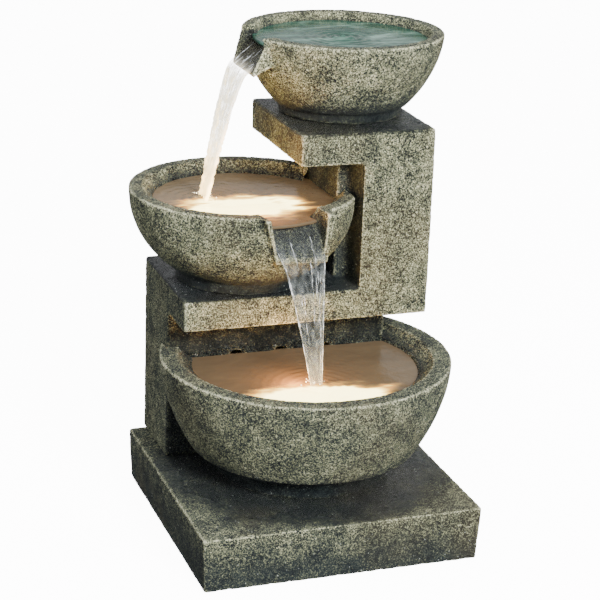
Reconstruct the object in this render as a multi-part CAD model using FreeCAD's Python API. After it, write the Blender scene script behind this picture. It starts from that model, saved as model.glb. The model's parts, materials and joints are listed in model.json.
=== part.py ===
import FreeCAD, Part
import math
import os

os.makedirs("parts", exist_ok=True)

# Tiered water fountain: three cast-stone bowls on an S-shaped tower, with the pump in a well at the
# foot of the tower. Millimetres, +Z up, front towards -Y, origin at the centre of the base's underside.

V = FreeCAD.Vector
X = V(1, 0, 0)
Y = V(0, 1, 0)
Z = V(0, 0, 1)

# ---- driving dimensions: base and tower castings
BASE_WIDTH = 417.0
BASE_DEPTH = 410.0
BASE_HEIGHT = 81.0
BASE_TAPER = 3.5  # each side stands this much further in at the floor
NEAR = 1.0  # how near a face an edge must be to belong to it
WALL = 12.0
BACK_WALL = 16.0
EDGE_ROUND = 4.0
EDGE_BAND = 6.0  # how near a side an edge's middle must be to count as an outer edge
PANEL = 6.0
POST_HALF = 15.0
GAP = 0.05  # the fit between parts that slide in or turn
OVERLAP = 1.0  # how far joined shapes run into each other before they are fused

TOWER_LEFT = -182.5
TOWER_RIGHT = 189.5
TOWER_FRONT = -6.6
TOWER_BACK = 212.0
UPPER_BACK = 225.0
HOUSING_FRONT = 81.6
HOUSING_RIGHT = 159.5
MIDDLE_SLAB_BOTTOM = 308.4
MIDDLE_SLAB_TOP = 355.9
COLUMN_LEFT = 80.8
CORE_LEFT = 59.5
CORE_FRONT = 46.0
UPPER_SLAB_LEFT = -15.8
MIDDLE_BOWL_END = 72.5  # the middle bowl stops here, just short of the column's side
UPPER_SLAB_BOTTOM = 541.6
UPPER_SLAB_TOP = 589.2

# ---- driving dimensions: bowls (centre, rim height, outline r = R * sqrt(1 - (drop / depth) ** power))
BOWLS = {
    "lower": dict(centre=(7.5, 9.7), rim=257.0, radius=214.6, depth=237.0, power=1.7, bottom=121.0,
                  lip=29.0, inner_depth=225.0, floor=137.0, foot=130.0),
    "middle": dict(centre=(-67.5, 94.7), rim=492.2, radius=166.6, depth=146.7, power=2.2, bottom=371.0,
                   lip=22.5, inner_depth=138.0, floor=388.0, foot=97.0),
    "top": dict(centre=(89.2, 127.2), rim=711.0, radius=148.7, depth=149.2, power=1.7, bottom=604.0,
                lip=20.0, inner_depth=142.0, floor=620.0, foot=92.0),
}
RIM_ROUND = 3.0
FOOT_WALL = 22.0
OUTLINE_POINTS = 12
OUTLINE_CROWDING = 1.3  # above 1, the outline's points stand closer together near the rim

# ---- driving dimensions: spouts. Outlines are (reach from the bowl's centre, drop below the rim);
# the flanks' places across the spout are given at the rim and at the lip, and lean lowers one side
TOP_SPOUT = dict(heading=180.0, drop=51.0, lean=0.0,
                 outer=((-62.0, 59.0), (-32.0, 66.0)), inner=((-51.0, 48.0), (-22.0, 56.0)),
                 end=((134.6, 0.0), (158.5, 50.0)), under=((156.5, 53.5), (122.0, 37.0)),
                 floor=((60.0, 16.0), (112.0, 16.0), (164.0, 51.0)))
MIDDLE_SPOUT = dict(heading=-80.0, drop=70.0, lean=0.08,
                    outer=((-55.0, 55.0), (-28.0, 55.0)), inner=((-46.0, 43.5), (-23.0, 47.0)),
                    end=((174.0, 0.0), (158.0, 70.0)), under=((156.0, 74.0), (128.0, 78.0)),
                    floor=((100.0, 25.0), (140.0, 25.0), (162.0, 71.0)))
SPOUT_ROOT = (90.0, 40.0)  # where the spout's body begins inside the bowl
NOTCH_START, NOTCH_END = 60.0, 230.0
CUT_ABOVE = 15.0
CUT_BELOW = 30.0
CUT_REACH = 260.0

# ---- driving dimensions: waterways and rear access
ARCH_RADIUS = 14.0
ARCH_SPRING = 226.0
ARCH_SILL = 139.0
ARCH_CENTRES = (-74.5, -5.5, 63.5)
DOOR_LEFT, DOOR_RIGHT = -150.0, 100.0
DOOR_BOTTOM, DOOR_TOP = 262.0, 340.0
DOOR_LEDGE = 14.0
DOOR_THICKNESS = 8.0
DOOR_CLEARANCE = 0.5
GASKET_THICKNESS = 1.5
SCREW_RADIUS = 2.0
SCREW_HEAD_RADIUS = 4.0
SCREW_HEAD_DEPTH = 2.5
SCREW_LENGTH = 14.0
SCREW_RECESS = 1.0
SCREW_SLOT = (3.0, 0.5, 1.0)  # half length, half width, depth
SCREW_WAY = 0.3
GRIP_RADIUS = 10.0
GRIP_MARGIN = 95.0
GRIP_OUT = 5.0
GASKET_INSET = 2.0
DRAIN = V(-100.0, TOWER_BACK, 112.0)
DRAIN_RADIUS = 9.0
DRAIN_FLANGE_RADIUS = 13.0
DRAIN_FLANGE = 4.0
DRAIN_TAB = (7.0, 8.0, 2.0)  # half width, length, half thickness

# ---- driving dimensions: pump, with its shaft along X
WELL_FLOOR = BASE_HEIGHT + WALL
PUMP_Y = 150.0
PUMP_HALF = 23.0
PUMP_ROUND = 5.0
CUP_HEIGHT = 8.0
CUP_RADIUS, CUP_NECK, CUP_NECK_HEIGHT = 9.0, 4.0, 2.0
CUP_INSET = (8.0, 10.0, 10.0)  # from the volute's and the motor's ends, and from the pump's sides
PUMP_BOTTOM = WELL_FLOOR + CUP_HEIGHT
PUMP_TOP = PUMP_BOTTOM + 2 * PUMP_HALF
PUMP_AXIS_Z = PUMP_BOTTOM + PUMP_HALF
STRAINER_X = (60.0, 82.0)
VOLUTE_X = (82.0, 106.0)
MOTOR_X = (106.0, 146.0)
OUTLET_X = 94.0
ROTOR_RADIUS = 8.0
ROTOR_BORE = 9.0
ROTOR_X = (104.0, 137.5)
MOTOR_BORE_END = 139.0
HUB_RADIUS = 5.0
HUB_START = 89.0
BLADE_COUNT = 6
BLADE_X = (89.5, 103.0)
BLADE_ROOT, BLADE_RADIUS = 3.0, 14.0
BLADE_HALF = 0.8
CHAMBER_RADIUS = 17.0
CHAMBER_START = 87.5
EYE_RADIUS = 8.0
SHAFT_RADIUS = 1.5
SHAFT_X = (84.5, 142.0)
SPIDER_START = 84.0
SPIDER_HUB = 3.2
SPIDER_BAR = (8.5, 1.2)  # half width, half thickness
SPIGOT_LENGTH = 22.0
SPIGOT_BORE = 4.5
STRAINER_WALL = 3.0
SLOT_COUNT = 6
SLOT_PITCH = 6.4
SLOT_HALF = 1.5
SLOT_MARGIN = 8.0
KNOB_RADIUS = 9.0
KNOB_STEM = 3.0
KNOB_THICKNESS = 5.0
KNOB_CLEARANCE = 0.3
KNOB_STEM_REACH = 4.0
POINTER = (2.0, 1.5, 8.0)  # thickness, half width, half length

# ---- driving dimensions: riser hose, its clamps and the inlet through the top bowl's floor
HOSE_OUTER = 8.0
HOSE_INNER = 6.0
HOSE_BEND = 90.0
HOSE_LOW = PUMP_TOP + 4.0
HOSE_BENDS = (400.0, 500.0)
HOSE_HIGH = 592.0
HOSE_WAY = 20.0
CLAMP_WIDTH, CLAMP_BAND = 8.0, 1.0
CLAMP_FROM_LOW, CLAMP_FROM_HIGH = 6.0, 14.0
CLAMP_SCREW = (0.5, 6.0, 5.0, 1.0)  # start and end outside the hose, half width, inset from the band's sides
STEM_RADIUS = 10.0
STEM_BOTTOM = 594.0
FLANGE_RADIUS = 17.0
FLANGE_THICKNESS = 4.0
WASHER = 2.0
NOZZLE_RADIUS, NOZZLE_LENGTH = 8.0, 14.0
BARB_BOTTOM = 566.0
INLET_BORE = 4.0
NUT_RADIUS, NUT_BOTTOM = 16.0, 596.0

# ---- driving dimensions: lamps, leads, gland and junction block
LEAD_RADIUS = 2.75
LEAD_BEND = 14.0
LOWER_LAMP_LEAD_BEND = 8.0
LAMP_RADIUS = 24.0
LAMP_HEIGHT = 18.0
LAMP_FLOOR = 4.0
LAMP_CAVITY = 19.0
SOCKET_RADIUS, SOCKET_HEIGHT = 7.0, 5.0
BULB_RADIUS, BULB_STEM = 4.5, 4.5
LAMP_CAP_RADIUS = 27.0
CAP_SKIRT, CAP_LIP = 12.0, 3.0
CAP_SLACK = 0.3
LAMP_GASKET = 1.0
LENS_THICKNESS = 2.2
LAMPS = {
    "lower": V(-1.5, -69.0, BOWLS["lower"]["floor"]),
    "middle": V(-73.5, 42.0, BOWLS["middle"]["floor"]),
}
WELL_RIGHT = HOUSING_RIGHT - WALL
JUNCTION = (WELL_RIGHT - 24.0, WELL_RIGHT, 100.0, 134.0, 268.0, 294.0)
JUNCTION_ROUND = 3.0
GLAND = V(WELL_RIGHT - 19.0, TOWER_BACK, 287.0)
GLAND_BORE = 7.0
GLAND_FLANGE = 11.0
GLAND_NUT = 9.5
GLAND_FLANGE_THICKNESS = 3.0
GROMMET_RADIUS = 6.0
LEAD_ABOVE_LAMP_FLOOR = 6.0
LEAD_GAP = 0.2
LEAD_TO_ARCH_Y = 60.0
LEAD_FROM_WALL = 8.0
LEAD_BESIDE_PUMP = 10.0
PUMP_LEAD_Z = 276.0
LOWER_LEAD_TURN = V(104.0, 112.0, 281.0)
MIDDLE_LEAD_TURN = V(0.0, 108.0, 332.0)


# ---- small shape makers
def box(x0, x1, y0, y1, z0, z1):
    return Part.makeBox(x1 - x0, y1 - y0, z1 - z0, V(x0, y0, z0))


def rod(radius, length, start, axis=Z):
    return Part.makeCylinder(radius, length, start, axis)


def ring(outer, inner, length, start, axis=Z):
    return rod(outer, length, start, axis).cut(rod(inner, length, start, axis))


def fuse(shapes):
    return shapes[0].multiFuse(shapes[1:]).removeSplitter()


def prism(points, along):
    return Part.Face(Part.makePolygon(points + points[:1])).extrude(along)


def rounded(shape, radius, wanted):
    """Rounds the edges for which wanted(centre, direction) holds."""
    edges = []
    for edge in shape.Edges:
        middle = edge.valueAt((edge.FirstParameter + edge.LastParameter) / 2)
        if wanted(middle, edge.tangentAt(edge.FirstParameter)):
            edges.append(edge)
    return shape.makeFillet(radius, edges)


def route(points, bend):
    """Straight runs joined by tangent arcs of the given radius."""
    edges = []
    start = points[0]
    for before, corner, after in zip(points, points[1:], points[2:]):
        into = (corner - before).normalize()
        out = (after - corner).normalize()
        half_turn = into.getAngle(out) / 2
        reach = bend * math.tan(half_turn)
        first = corner - into * reach
        last = corner + out * reach
        inward = (out - into).normalize()
        centre = corner + inward * (bend / math.cos(half_turn))
        middle = centre - inward * bend
        edges.append(Part.LineSegment(start, first).toShape())
        edges.append(Part.Arc(first, middle, last).toShape())
        start = last
    edges.append(Part.LineSegment(start, points[-1]).toShape())
    return Part.Wire(edges)


def sweep(path, radius, start, axis):
    profile = Part.Wire(Part.makeCircle(radius, start, axis))
    return path.makePipeShell([profile], True, False)


def save(name, shape):
    shape.exportStep(os.path.join("parts", name + ".step"))


# ---- bowls
def outline_radius(radius, depth, power, drop):
    return radius * math.sqrt(1 - (drop / depth) ** power)


def turned(centre, rim, radius, depth, power, bottom):
    """The solid inside one bowl outline, from its rim plane down to a flat bottom."""
    points = []
    for i in range(OUTLINE_POINTS):
        drop = (rim - bottom) * (i / (OUTLINE_POINTS - 1)) ** OUTLINE_CROWDING
        points.append(V(outline_radius(radius, depth, power, drop), 0, rim - drop))
    curve = Part.BSplineCurve()
    curve.interpolate(points)
    top_centre = V(0, 0, rim)
    low_centre = V(0, 0, bottom)
    edges = [
        curve.toShape(),
        Part.LineSegment(points[-1], low_centre).toShape(),
        Part.LineSegment(low_centre, top_centre).toShape(),
        Part.LineSegment(top_centre, points[0]).toShape(),
    ]
    solid = Part.Face(Part.Wire(edges)).revolve(V(0, 0, 0), Z, 360)
    solid.translate(V(centre[0], centre[1], 0))
    return solid


def spout_block(points, flanks, spout, above):
    """An outline in the upright plane of the spout, kept between two flanks that slope with depth."""
    reach = CUT_REACH
    below = spout["drop"] + CUT_BELOW
    (high_a, high_b), (low_a, low_b) = flanks
    slope_a = (low_a - high_a) / spout["drop"]
    slope_b = (low_b - high_b) / spout["drop"]
    run = V(0, 2 * reach, -2 * reach * spout["lean"])
    side = prism([V(r, -reach, -d + reach * spout["lean"]) for r, d in points], run)
    front = prism(
        [V(0, high_a - slope_a * above, above), V(0, high_b - slope_b * above, above),
         V(0, high_b + slope_b * below, -below), V(0, high_a + slope_a * below, -below)],
        X * reach,
    )
    return side.common(front)


def placed_spout(shape, bowl, heading):
    shape.rotate(V(0, 0, 0), Z, heading)
    shape.translate(V(bowl["centre"][0], bowl["centre"][1], bowl["rim"]))
    return shape


def bowl_shape(bowl, spout=None):
    outer = turned(bowl["centre"], bowl["rim"], bowl["radius"], bowl["depth"], bowl["power"],
                   bowl["bottom"])
    hollow = turned(bowl["centre"], bowl["rim"], bowl["radius"] - bowl["lip"], bowl["inner_depth"],
                    bowl["power"], bowl["floor"])
    shell = rounded(outer.cut(hollow), RIM_ROUND, lambda p, t: abs(p.z - bowl["rim"]) < 0.01)
    if spout:
        body = [(SPOUT_ROOT[0], -CUT_ABOVE), (spout["end"][0][0] - OVERLAP, -CUT_ABOVE), *spout["end"],
                *spout["under"], SPOUT_ROOT]
        block = placed_spout(spout_block(body, spout["outer"], spout, 0), bowl, spout["heading"])
        lip = spout["floor"][-1][1]
        notch = [(NOTCH_START, -CUT_ABOVE), *spout["floor"], (NOTCH_END, lip), (NOTCH_END, -CUT_ABOVE)]
        cut = placed_spout(spout_block(notch, spout["inner"], spout, CUT_ABOVE), bowl, spout["heading"])
        cheeks_and_apron = block.cut(hollow).cut(cut)
        shell = shell.cut(cut).fuse(cheeks_and_apron)
    return shell


def foot_ring(bowl, stand):
    start = V(bowl["centre"][0], bowl["centre"][1], stand)
    return ring(bowl["foot"], bowl["foot"] - FOOT_WALL, bowl["bottom"] - stand, start)


# ---- base
def tapered(inset, low, high):
    def corner_wire(z):
        taper = BASE_TAPER * (1 - z / BASE_HEIGHT)
        half_w = BASE_WIDTH / 2 - taper - inset
        half_d = BASE_DEPTH / 2 - taper - inset
        corners = [V(-half_w, -half_d, z), V(half_w, -half_d, z), V(half_w, half_d, z),
                   V(-half_w, half_d, z)]
        return Part.makePolygon(corners + corners[:1])

    return Part.makeLoft([corner_wire(low), corner_wire(high)], True, True)


def outer_base_edge(p, t):
    on_side = abs(p.x) > BASE_WIDTH / 2 - EDGE_BAND or abs(p.y) > BASE_DEPTH / 2 - EDGE_BAND
    return on_side and (p.z > BASE_HEIGHT - NEAR or abs(t.z) > 0.5)


base = rounded(tapered(0, 0, BASE_HEIGHT), EDGE_ROUND, outer_base_edge)
base = base.cut(tapered(WALL, 0, BASE_HEIGHT - WALL))
posts = []
panel_screws = []
panel = tapered(WALL + GAP, 0, PANEL)
for sx in (-1, 1):
    for sy in (-1, 1):
        px = sx * (BASE_WIDTH / 2 - WALL - POST_HALF)
        py = sy * (BASE_DEPTH / 2 - WALL - POST_HALF)
        post = box(px - POST_HALF, px + POST_HALF, py - POST_HALF, py + POST_HALF,
                   PANEL, BASE_HEIGHT - WALL + OVERLAP)
        posts.append(post.cut(rod(SCREW_RADIUS, SCREW_LENGTH, V(px, py, PANEL))))
        panel = panel.cut(rod(SCREW_RADIUS + GAP, PANEL, V(px, py, 0)))
        panel = panel.cut(rod(SCREW_HEAD_RADIUS + GAP, SCREW_RECESS + SCREW_HEAD_DEPTH, V(px, py, 0)))
        head = rod(SCREW_HEAD_RADIUS, SCREW_HEAD_DEPTH, V(px, py, SCREW_RECESS))
        shank = rod(SCREW_RADIUS, SCREW_LENGTH, V(px, py, SCREW_RECESS + SCREW_HEAD_DEPTH))
        panel_screws.append(fuse([head, shank]))
base = fuse([base, *posts])
for screw in panel_screws:
    base = base.cut(screw)
save("base_plinth", base)
save("base_panel", panel)
save("base_panel_screws", Part.makeCompound(panel_screws))

# ---- tower: pump housing, middle slab, column and upper slab, one hollow casting on the next
housing_inner = box(TOWER_LEFT + WALL, HOUSING_RIGHT - WALL, HOUSING_FRONT + WALL,
                    TOWER_BACK - BACK_WALL, WELL_FLOOR, MIDDLE_SLAB_BOTTOM)
housing = box(TOWER_LEFT, HOUSING_RIGHT, HOUSING_FRONT, TOWER_BACK, BASE_HEIGHT, MIDDLE_SLAB_BOTTOM)
housing = rounded(housing, EDGE_ROUND, lambda p, t: abs(t.z) > 0.9)
housing = housing.cut(housing_inner)
for x in ARCH_CENTRES:
    arch = fuse([
        box(x - ARCH_RADIUS, x + ARCH_RADIUS, HOUSING_FRONT, HOUSING_FRONT + WALL, ARCH_SILL, ARCH_SPRING),
        rod(ARCH_RADIUS, WALL, V(x, HOUSING_FRONT, ARCH_SPRING), Y),
    ])
    housing = housing.cut(arch)

slab = box(TOWER_LEFT, TOWER_RIGHT, TOWER_FRONT, TOWER_BACK, MIDDLE_SLAB_BOTTOM, MIDDLE_SLAB_TOP)
slab = rounded(slab, EDGE_ROUND, lambda p, t: abs(t.z) > 0.9 or p.y < TOWER_FRONT + NEAR
               or (p.x < TOWER_LEFT + NEAR and p.z > MIDDLE_SLAB_TOP - NEAR))
slab_inner = box(TOWER_LEFT + WALL, TOWER_RIGHT - WALL, TOWER_FRONT + WALL, TOWER_BACK - BACK_WALL,
                 MIDDLE_SLAB_BOTTOM + WALL, MIDDLE_SLAB_TOP - WALL)
slab_floor_way = box(TOWER_LEFT + WALL, HOUSING_RIGHT - WALL, HOUSING_FRONT + WALL,
                     TOWER_BACK - BACK_WALL, MIDDLE_SLAB_BOTTOM, MIDDLE_SLAB_BOTTOM + WALL)
slab = slab.cut(fuse([slab_inner, slab_floor_way]))


def column_core(inset):
    """The column's rear part, whose back leans out to meet the upper slab."""
    low = [V(CORE_LEFT + inset, CORE_FRONT + inset, MIDDLE_SLAB_TOP),
           V(CORE_LEFT + inset, TOWER_BACK - inset, MIDDLE_SLAB_TOP),
           V(CORE_LEFT + inset, UPPER_BACK - inset, UPPER_SLAB_BOTTOM),
           V(CORE_LEFT + inset, CORE_FRONT + inset, UPPER_SLAB_BOTTOM)]
    return prism(low, X * (TOWER_RIGHT - CORE_LEFT - 2 * inset))


column_front = box(COLUMN_LEFT, TOWER_RIGHT, TOWER_FRONT, CORE_FRONT, MIDDLE_SLAB_TOP, UPPER_SLAB_BOTTOM)
column_block = fuse([column_front, column_core(0)])
front_hollow = box(COLUMN_LEFT + WALL, TOWER_RIGHT - WALL, TOWER_FRONT + WALL, CORE_FRONT + 2 * WALL,
                   MIDDLE_SLAB_TOP, UPPER_SLAB_BOTTOM)
column_hollow = fuse([front_hollow, column_core(WALL)])
column = column_block.cut(column_hollow)

upper = box(UPPER_SLAB_LEFT, TOWER_RIGHT, TOWER_FRONT, UPPER_BACK, UPPER_SLAB_BOTTOM, UPPER_SLAB_TOP)
upper = rounded(upper, EDGE_ROUND, lambda p, t: abs(t.z) > 0.9 or p.z > UPPER_SLAB_TOP - NEAR
                or p.x < UPPER_SLAB_LEFT + NEAR)
upper = upper.cut(box(UPPER_SLAB_LEFT + WALL, TOWER_RIGHT - WALL, TOWER_FRONT + WALL, UPPER_BACK - WALL,
                      UPPER_SLAB_BOTTOM + WALL, UPPER_SLAB_TOP - WALL))

# ---- riser hose, which climbs from the pump through the column to the top bowl
top = BOWLS["top"]
inlet = V(top["centre"][0], top["centre"][1], top["floor"])
hose_points = [V(OUTLET_X, PUMP_Y, HOSE_LOW), V(OUTLET_X, PUMP_Y, HOSE_BENDS[0]),
               V(inlet.x, inlet.y, HOSE_BENDS[1]), V(inlet.x, inlet.y, HOSE_HIGH)]
hose_path = route(hose_points, HOSE_BEND)
hose_skin = sweep(hose_path, HOSE_OUTER, hose_points[0], Z)
hose = hose_skin.cut(sweep(hose_path, HOSE_INNER, hose_points[0], Z))
save("riser_hose", hose)

upper = upper.cut(box(CORE_LEFT + WALL, TOWER_RIGHT - WALL, CORE_FRONT + WALL, TOWER_BACK - BACK_WALL,
                      UPPER_SLAB_BOTTOM, UPPER_SLAB_BOTTOM + WALL))
upper = upper.cut(rod(HOSE_WAY, WALL, V(inlet.x, inlet.y, UPPER_SLAB_TOP - WALL)))
slab = slab.cut(rod(HOSE_WAY, WALL, V(OUTLET_X, PUMP_Y, MIDDLE_SLAB_TOP - WALL)))

clamps = []
screw_start, screw_end, screw_half, screw_inset = CLAMP_SCREW
for where, z in ((hose_points[0], HOSE_LOW + CLAMP_FROM_LOW), (hose_points[-1], HOSE_HIGH - CLAMP_FROM_HIGH)):
    foot = V(where.x, where.y, z)
    band = ring(HOSE_OUTER + CLAMP_BAND, HOSE_OUTER, CLAMP_WIDTH, foot)
    screw_box = box(where.x + HOSE_OUTER + screw_start, where.x + HOSE_OUTER + screw_end,
                    where.y - screw_half, where.y + screw_half,
                    z + screw_inset, z + CLAMP_WIDTH - screw_inset)
    clamps.append(fuse([band, screw_box.cut(rod(HOSE_OUTER + screw_start, CLAMP_WIDTH, foot))]))
save("hose_clamps", Part.makeCompound(clamps))

# ---- inlet fitting, nut and washer through the top bowl's floor
flange = rod(FLANGE_RADIUS, FLANGE_THICKNESS, inlet + Z * WASHER)
nozzle = rod(NOZZLE_RADIUS, NOZZLE_LENGTH, inlet + Z * (WASHER + FLANGE_THICKNESS))
stem = rod(STEM_RADIUS - GAP, inlet.z + WASHER - STEM_BOTTOM, V(inlet.x, inlet.y, STEM_BOTTOM))
barb = rod(HOSE_INNER, STEM_BOTTOM - BARB_BOTTOM, V(inlet.x, inlet.y, BARB_BOTTOM))
fitting = fuse([flange, nozzle, stem, barb])
fitting = fitting.cut(rod(INLET_BORE, top["rim"] - BARB_BOTTOM, V(inlet.x, inlet.y, BARB_BOTTOM)))
corners = []
for i in range(6):
    turn = math.radians(60 * i)
    corner = V(NUT_RADIUS * math.cos(turn), NUT_RADIUS * math.sin(turn), NUT_BOTTOM - inlet.z)
    corners.append(inlet + corner)
nut = prism(corners, Z * (top["bottom"] - NUT_BOTTOM))
nut = nut.cut(rod(STEM_RADIUS, top["bottom"] - NUT_BOTTOM, V(inlet.x, inlet.y, NUT_BOTTOM)))
save("inlet_fitting", fitting)
save("inlet_nut", nut)
save("inlet_washer", ring(FLANGE_RADIUS, STEM_RADIUS, WASHER, inlet))

# ---- rear access door over the pump well
rebate = box(DOOR_LEFT, DOOR_RIGHT, TOWER_BACK - DOOR_THICKNESS - GASKET_THICKNESS, TOWER_BACK,
             DOOR_BOTTOM, DOOR_TOP)
doorway = box(DOOR_LEFT + DOOR_LEDGE, DOOR_RIGHT - DOOR_LEDGE, TOWER_BACK - BACK_WALL, TOWER_BACK,
              DOOR_BOTTOM + DOOR_LEDGE, DOOR_TOP - DOOR_LEDGE)
seat = TOWER_BACK - DOOR_THICKNESS
door = box(DOOR_LEFT + DOOR_CLEARANCE, DOOR_RIGHT - DOOR_CLEARANCE, seat, TOWER_BACK,
           DOOR_BOTTOM + DOOR_CLEARANCE, DOOR_TOP - DOOR_CLEARANCE)
gasket = box(DOOR_LEFT + GASKET_INSET, DOOR_RIGHT - GASKET_INSET, seat - GASKET_THICKNESS, seat,
             DOOR_BOTTOM + GASKET_INSET, DOOR_TOP - GASKET_INSET)
gasket = gasket.cut(doorway)
housing = housing.cut(fuse([rebate, doorway]))
slab = slab.cut(fuse([rebate, doorway]))
grip_start = V(DOOR_LEFT + GRIP_MARGIN, TOWER_BACK + GRIP_OUT, (DOOR_BOTTOM + DOOR_TOP) / 2)
door = door.cut(rod(GRIP_RADIUS, DOOR_RIGHT - DOOR_LEFT - 2 * GRIP_MARGIN, grip_start, X))
door_screws = []
slot_half_length, slot_half_width, slot_depth = SCREW_SLOT
for x in (DOOR_LEFT + DOOR_LEDGE / 2, DOOR_RIGHT - DOOR_LEDGE / 2):
    for z in (DOOR_BOTTOM + DOOR_LEDGE / 2, DOOR_TOP - DOOR_LEDGE / 2):
        head = rod(SCREW_HEAD_RADIUS, SCREW_HEAD_DEPTH, V(x, TOWER_BACK - SCREW_HEAD_DEPTH, z), Y)
        shank = rod(SCREW_RADIUS, SCREW_LENGTH - SCREW_HEAD_DEPTH, V(x, TOWER_BACK - SCREW_LENGTH, z), Y)
        slot = box(x - slot_half_length, x + slot_half_length, TOWER_BACK - slot_depth, TOWER_BACK,
                   z - slot_half_width, z + slot_half_width)
        screw = fuse([head, shank])
        door = door.cut(screw)
        door_screws.append(screw.cut(slot))
        way = rod(SCREW_RADIUS + SCREW_WAY, SCREW_LENGTH, V(x, TOWER_BACK - SCREW_LENGTH, z), Y)
        gasket = gasket.cut(way)
        housing = housing.cut(way)
        slab = slab.cut(way)
save("rear_door", door)
save("door_gasket", gasket)
save("door_screws", Part.makeCompound(door_screws))

# ---- drain plug low in the well's back wall
housing = housing.cut(rod(DRAIN_RADIUS + GAP, BACK_WALL, DRAIN - Y * BACK_WALL, Y))
plug = rod(DRAIN_RADIUS, BACK_WALL, DRAIN - Y * BACK_WALL, Y)
plug_flange = rod(DRAIN_FLANGE_RADIUS, DRAIN_FLANGE, DRAIN, Y)
tab_half_width, tab_length, tab_half_thickness = DRAIN_TAB
tab_start = DRAIN.y + DRAIN_FLANGE
pull_tab = box(DRAIN.x - tab_half_width, DRAIN.x + tab_half_width, tab_start, tab_start + tab_length,
               DRAIN.z - tab_half_thickness, DRAIN.z + tab_half_thickness)
save("drain_plug", fuse([plug, plug_flange, pull_tab]))

# ---- cable gland high in the back wall, above the water
gland_way = rod(GLAND_BORE, BACK_WALL, GLAND - Y * BACK_WALL, Y)
gland_inside = GLAND - Y * (BACK_WALL + GLAND_FLANGE_THICKNESS)
gland = fuse([gland_way, rod(GLAND_FLANGE, GLAND_FLANGE_THICKNESS, GLAND, Y),
              rod(GLAND_NUT, GLAND_FLANGE_THICKNESS, gland_inside, Y)])
gland = gland.cut(rod(LEAD_RADIUS, BACK_WALL + 2 * GLAND_FLANGE_THICKNESS, gland_inside, Y))
housing = housing.cut(gland_way)
save("cable_gland", gland)
save("pump_housing", housing)

# ---- lamps: housing with socket, bulb, gasket, and a push-on cap with its lens
middle_way = LAMPS["middle"]
skirt_z = LAMP_HEIGHT + LAMP_GASKET + LENS_THICKNESS + CAP_SLACK - CAP_SKIRT
lens_z = LAMP_HEIGHT + LAMP_GASKET + CAP_SLACK
for name, foot in LAMPS.items():
    shell = rod(LAMP_RADIUS, LAMP_HEIGHT, foot)
    shell = shell.cut(rod(LAMP_CAVITY, LAMP_HEIGHT - LAMP_FLOOR, foot + Z * LAMP_FLOOR))
    socket = rod(SOCKET_RADIUS, SOCKET_HEIGHT, foot + Z * LAMP_FLOOR)
    bulb_z = LAMP_FLOOR + SOCKET_HEIGHT
    bulb = fuse([rod(BULB_RADIUS, BULB_STEM, foot + Z * bulb_z),
                 Part.makeSphere(BULB_RADIUS, foot + Z * (bulb_z + BULB_STEM))])
    skirt = ring(LAMP_CAP_RADIUS, LAMP_RADIUS + CAP_SLACK, CAP_SKIRT, foot + Z * skirt_z)
    lip = ring(LAMP_CAP_RADIUS, LAMP_CAVITY, CAP_LIP, foot + Z * (skirt_z + CAP_SKIRT))
    save(name + "_lamp_housing", fuse([shell, socket]))
    save(name + "_lamp_bulb", bulb)
    save(name + "_lamp_gasket", ring(LAMP_RADIUS, LAMP_CAVITY, LAMP_GASKET, foot + Z * LAMP_HEIGHT))
    save(name + "_lamp_cap", fuse([skirt, lip]))
    save(name + "_lamp_lens", rod(LAMP_RADIUS, LENS_THICKNESS, foot + Z * lens_z))

# ---- leads held inside the fountain
grommet_low = V(middle_way.x, middle_way.y, BOWLS["middle"]["bottom"])
grommet_length = middle_way.z - grommet_low.z
grommet = rod(GROMMET_RADIUS, grommet_length, grommet_low)
save("middle_lead_grommet", ring(GROMMET_RADIUS, LEAD_RADIUS, grommet_length, grommet_low))
slab = slab.cut(rod(GROMMET_RADIUS, WALL, V(middle_way.x, middle_way.y, MIDDLE_SLAB_TOP - WALL)))

jx0, jx1, jy0, jy1, jz0, jz1 = JUNCTION
junction = rounded(box(*JUNCTION), JUNCTION_ROUND, lambda p, t: abs(t.z) > 0.9 and p.x < jx1 - NEAR)
save("junction_block", junction)
lamp = LAMPS["lower"]
lead_z = lamp.z + LEAD_ABOVE_LAMP_FLOOR
pump_lead_x = jx1 - LEAD_FROM_WALL
pump_lead_y = PUMP_Y + LEAD_BESIDE_PUMP
arch_x = ARCH_CENTRES[1]
turn = LOWER_LEAD_TURN
over = MIDDLE_LEAD_TURN
block_x = (jx0 + jx1) / 2
leads = {
    "pump_lead": [V(pump_lead_x, pump_lead_y, PUMP_TOP), V(pump_lead_x, pump_lead_y, PUMP_LEAD_Z),
                  V(pump_lead_x, jy1, PUMP_LEAD_Z)],
    "supply_lead": [V(GLAND.x, jy1, GLAND.z), V(GLAND.x, TOWER_BACK + GLAND_FLANGE_THICKNESS, GLAND.z)],
    "lower_lamp_lead": [V(lamp.x, lamp.y + LAMP_RADIUS + LEAD_GAP, lead_z),
                        V(arch_x, LEAD_TO_ARCH_Y, lead_z), V(arch_x, turn.y, lead_z),
                        V(turn.x, turn.y, lead_z), turn, V(jx0, turn.y, turn.z)],
    "middle_lamp_lead": [middle_way, V(middle_way.x, middle_way.y, over.z), over,
                         V(block_x, over.y, over.z), V(block_x, over.y, jz1)],
}
for name, points in leads.items():
    bend = LOWER_LAMP_LEAD_BEND if name == "lower_lamp_lead" else LEAD_BEND
    path = route(points, bend)
    lead = sweep(path, LEAD_RADIUS, points[0], points[1] - points[0])
    straight_volume = math.pi * LEAD_RADIUS**2 * path.Length
    print(name, "bend", bend, "length", round(path.Length, 1),
          "volume over section times length", round(lead.Volume / straight_volume, 4))
    save(name, lead)
save("middle_slab", slab)
save("column", column)
save("upper_slab", upper)

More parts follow.
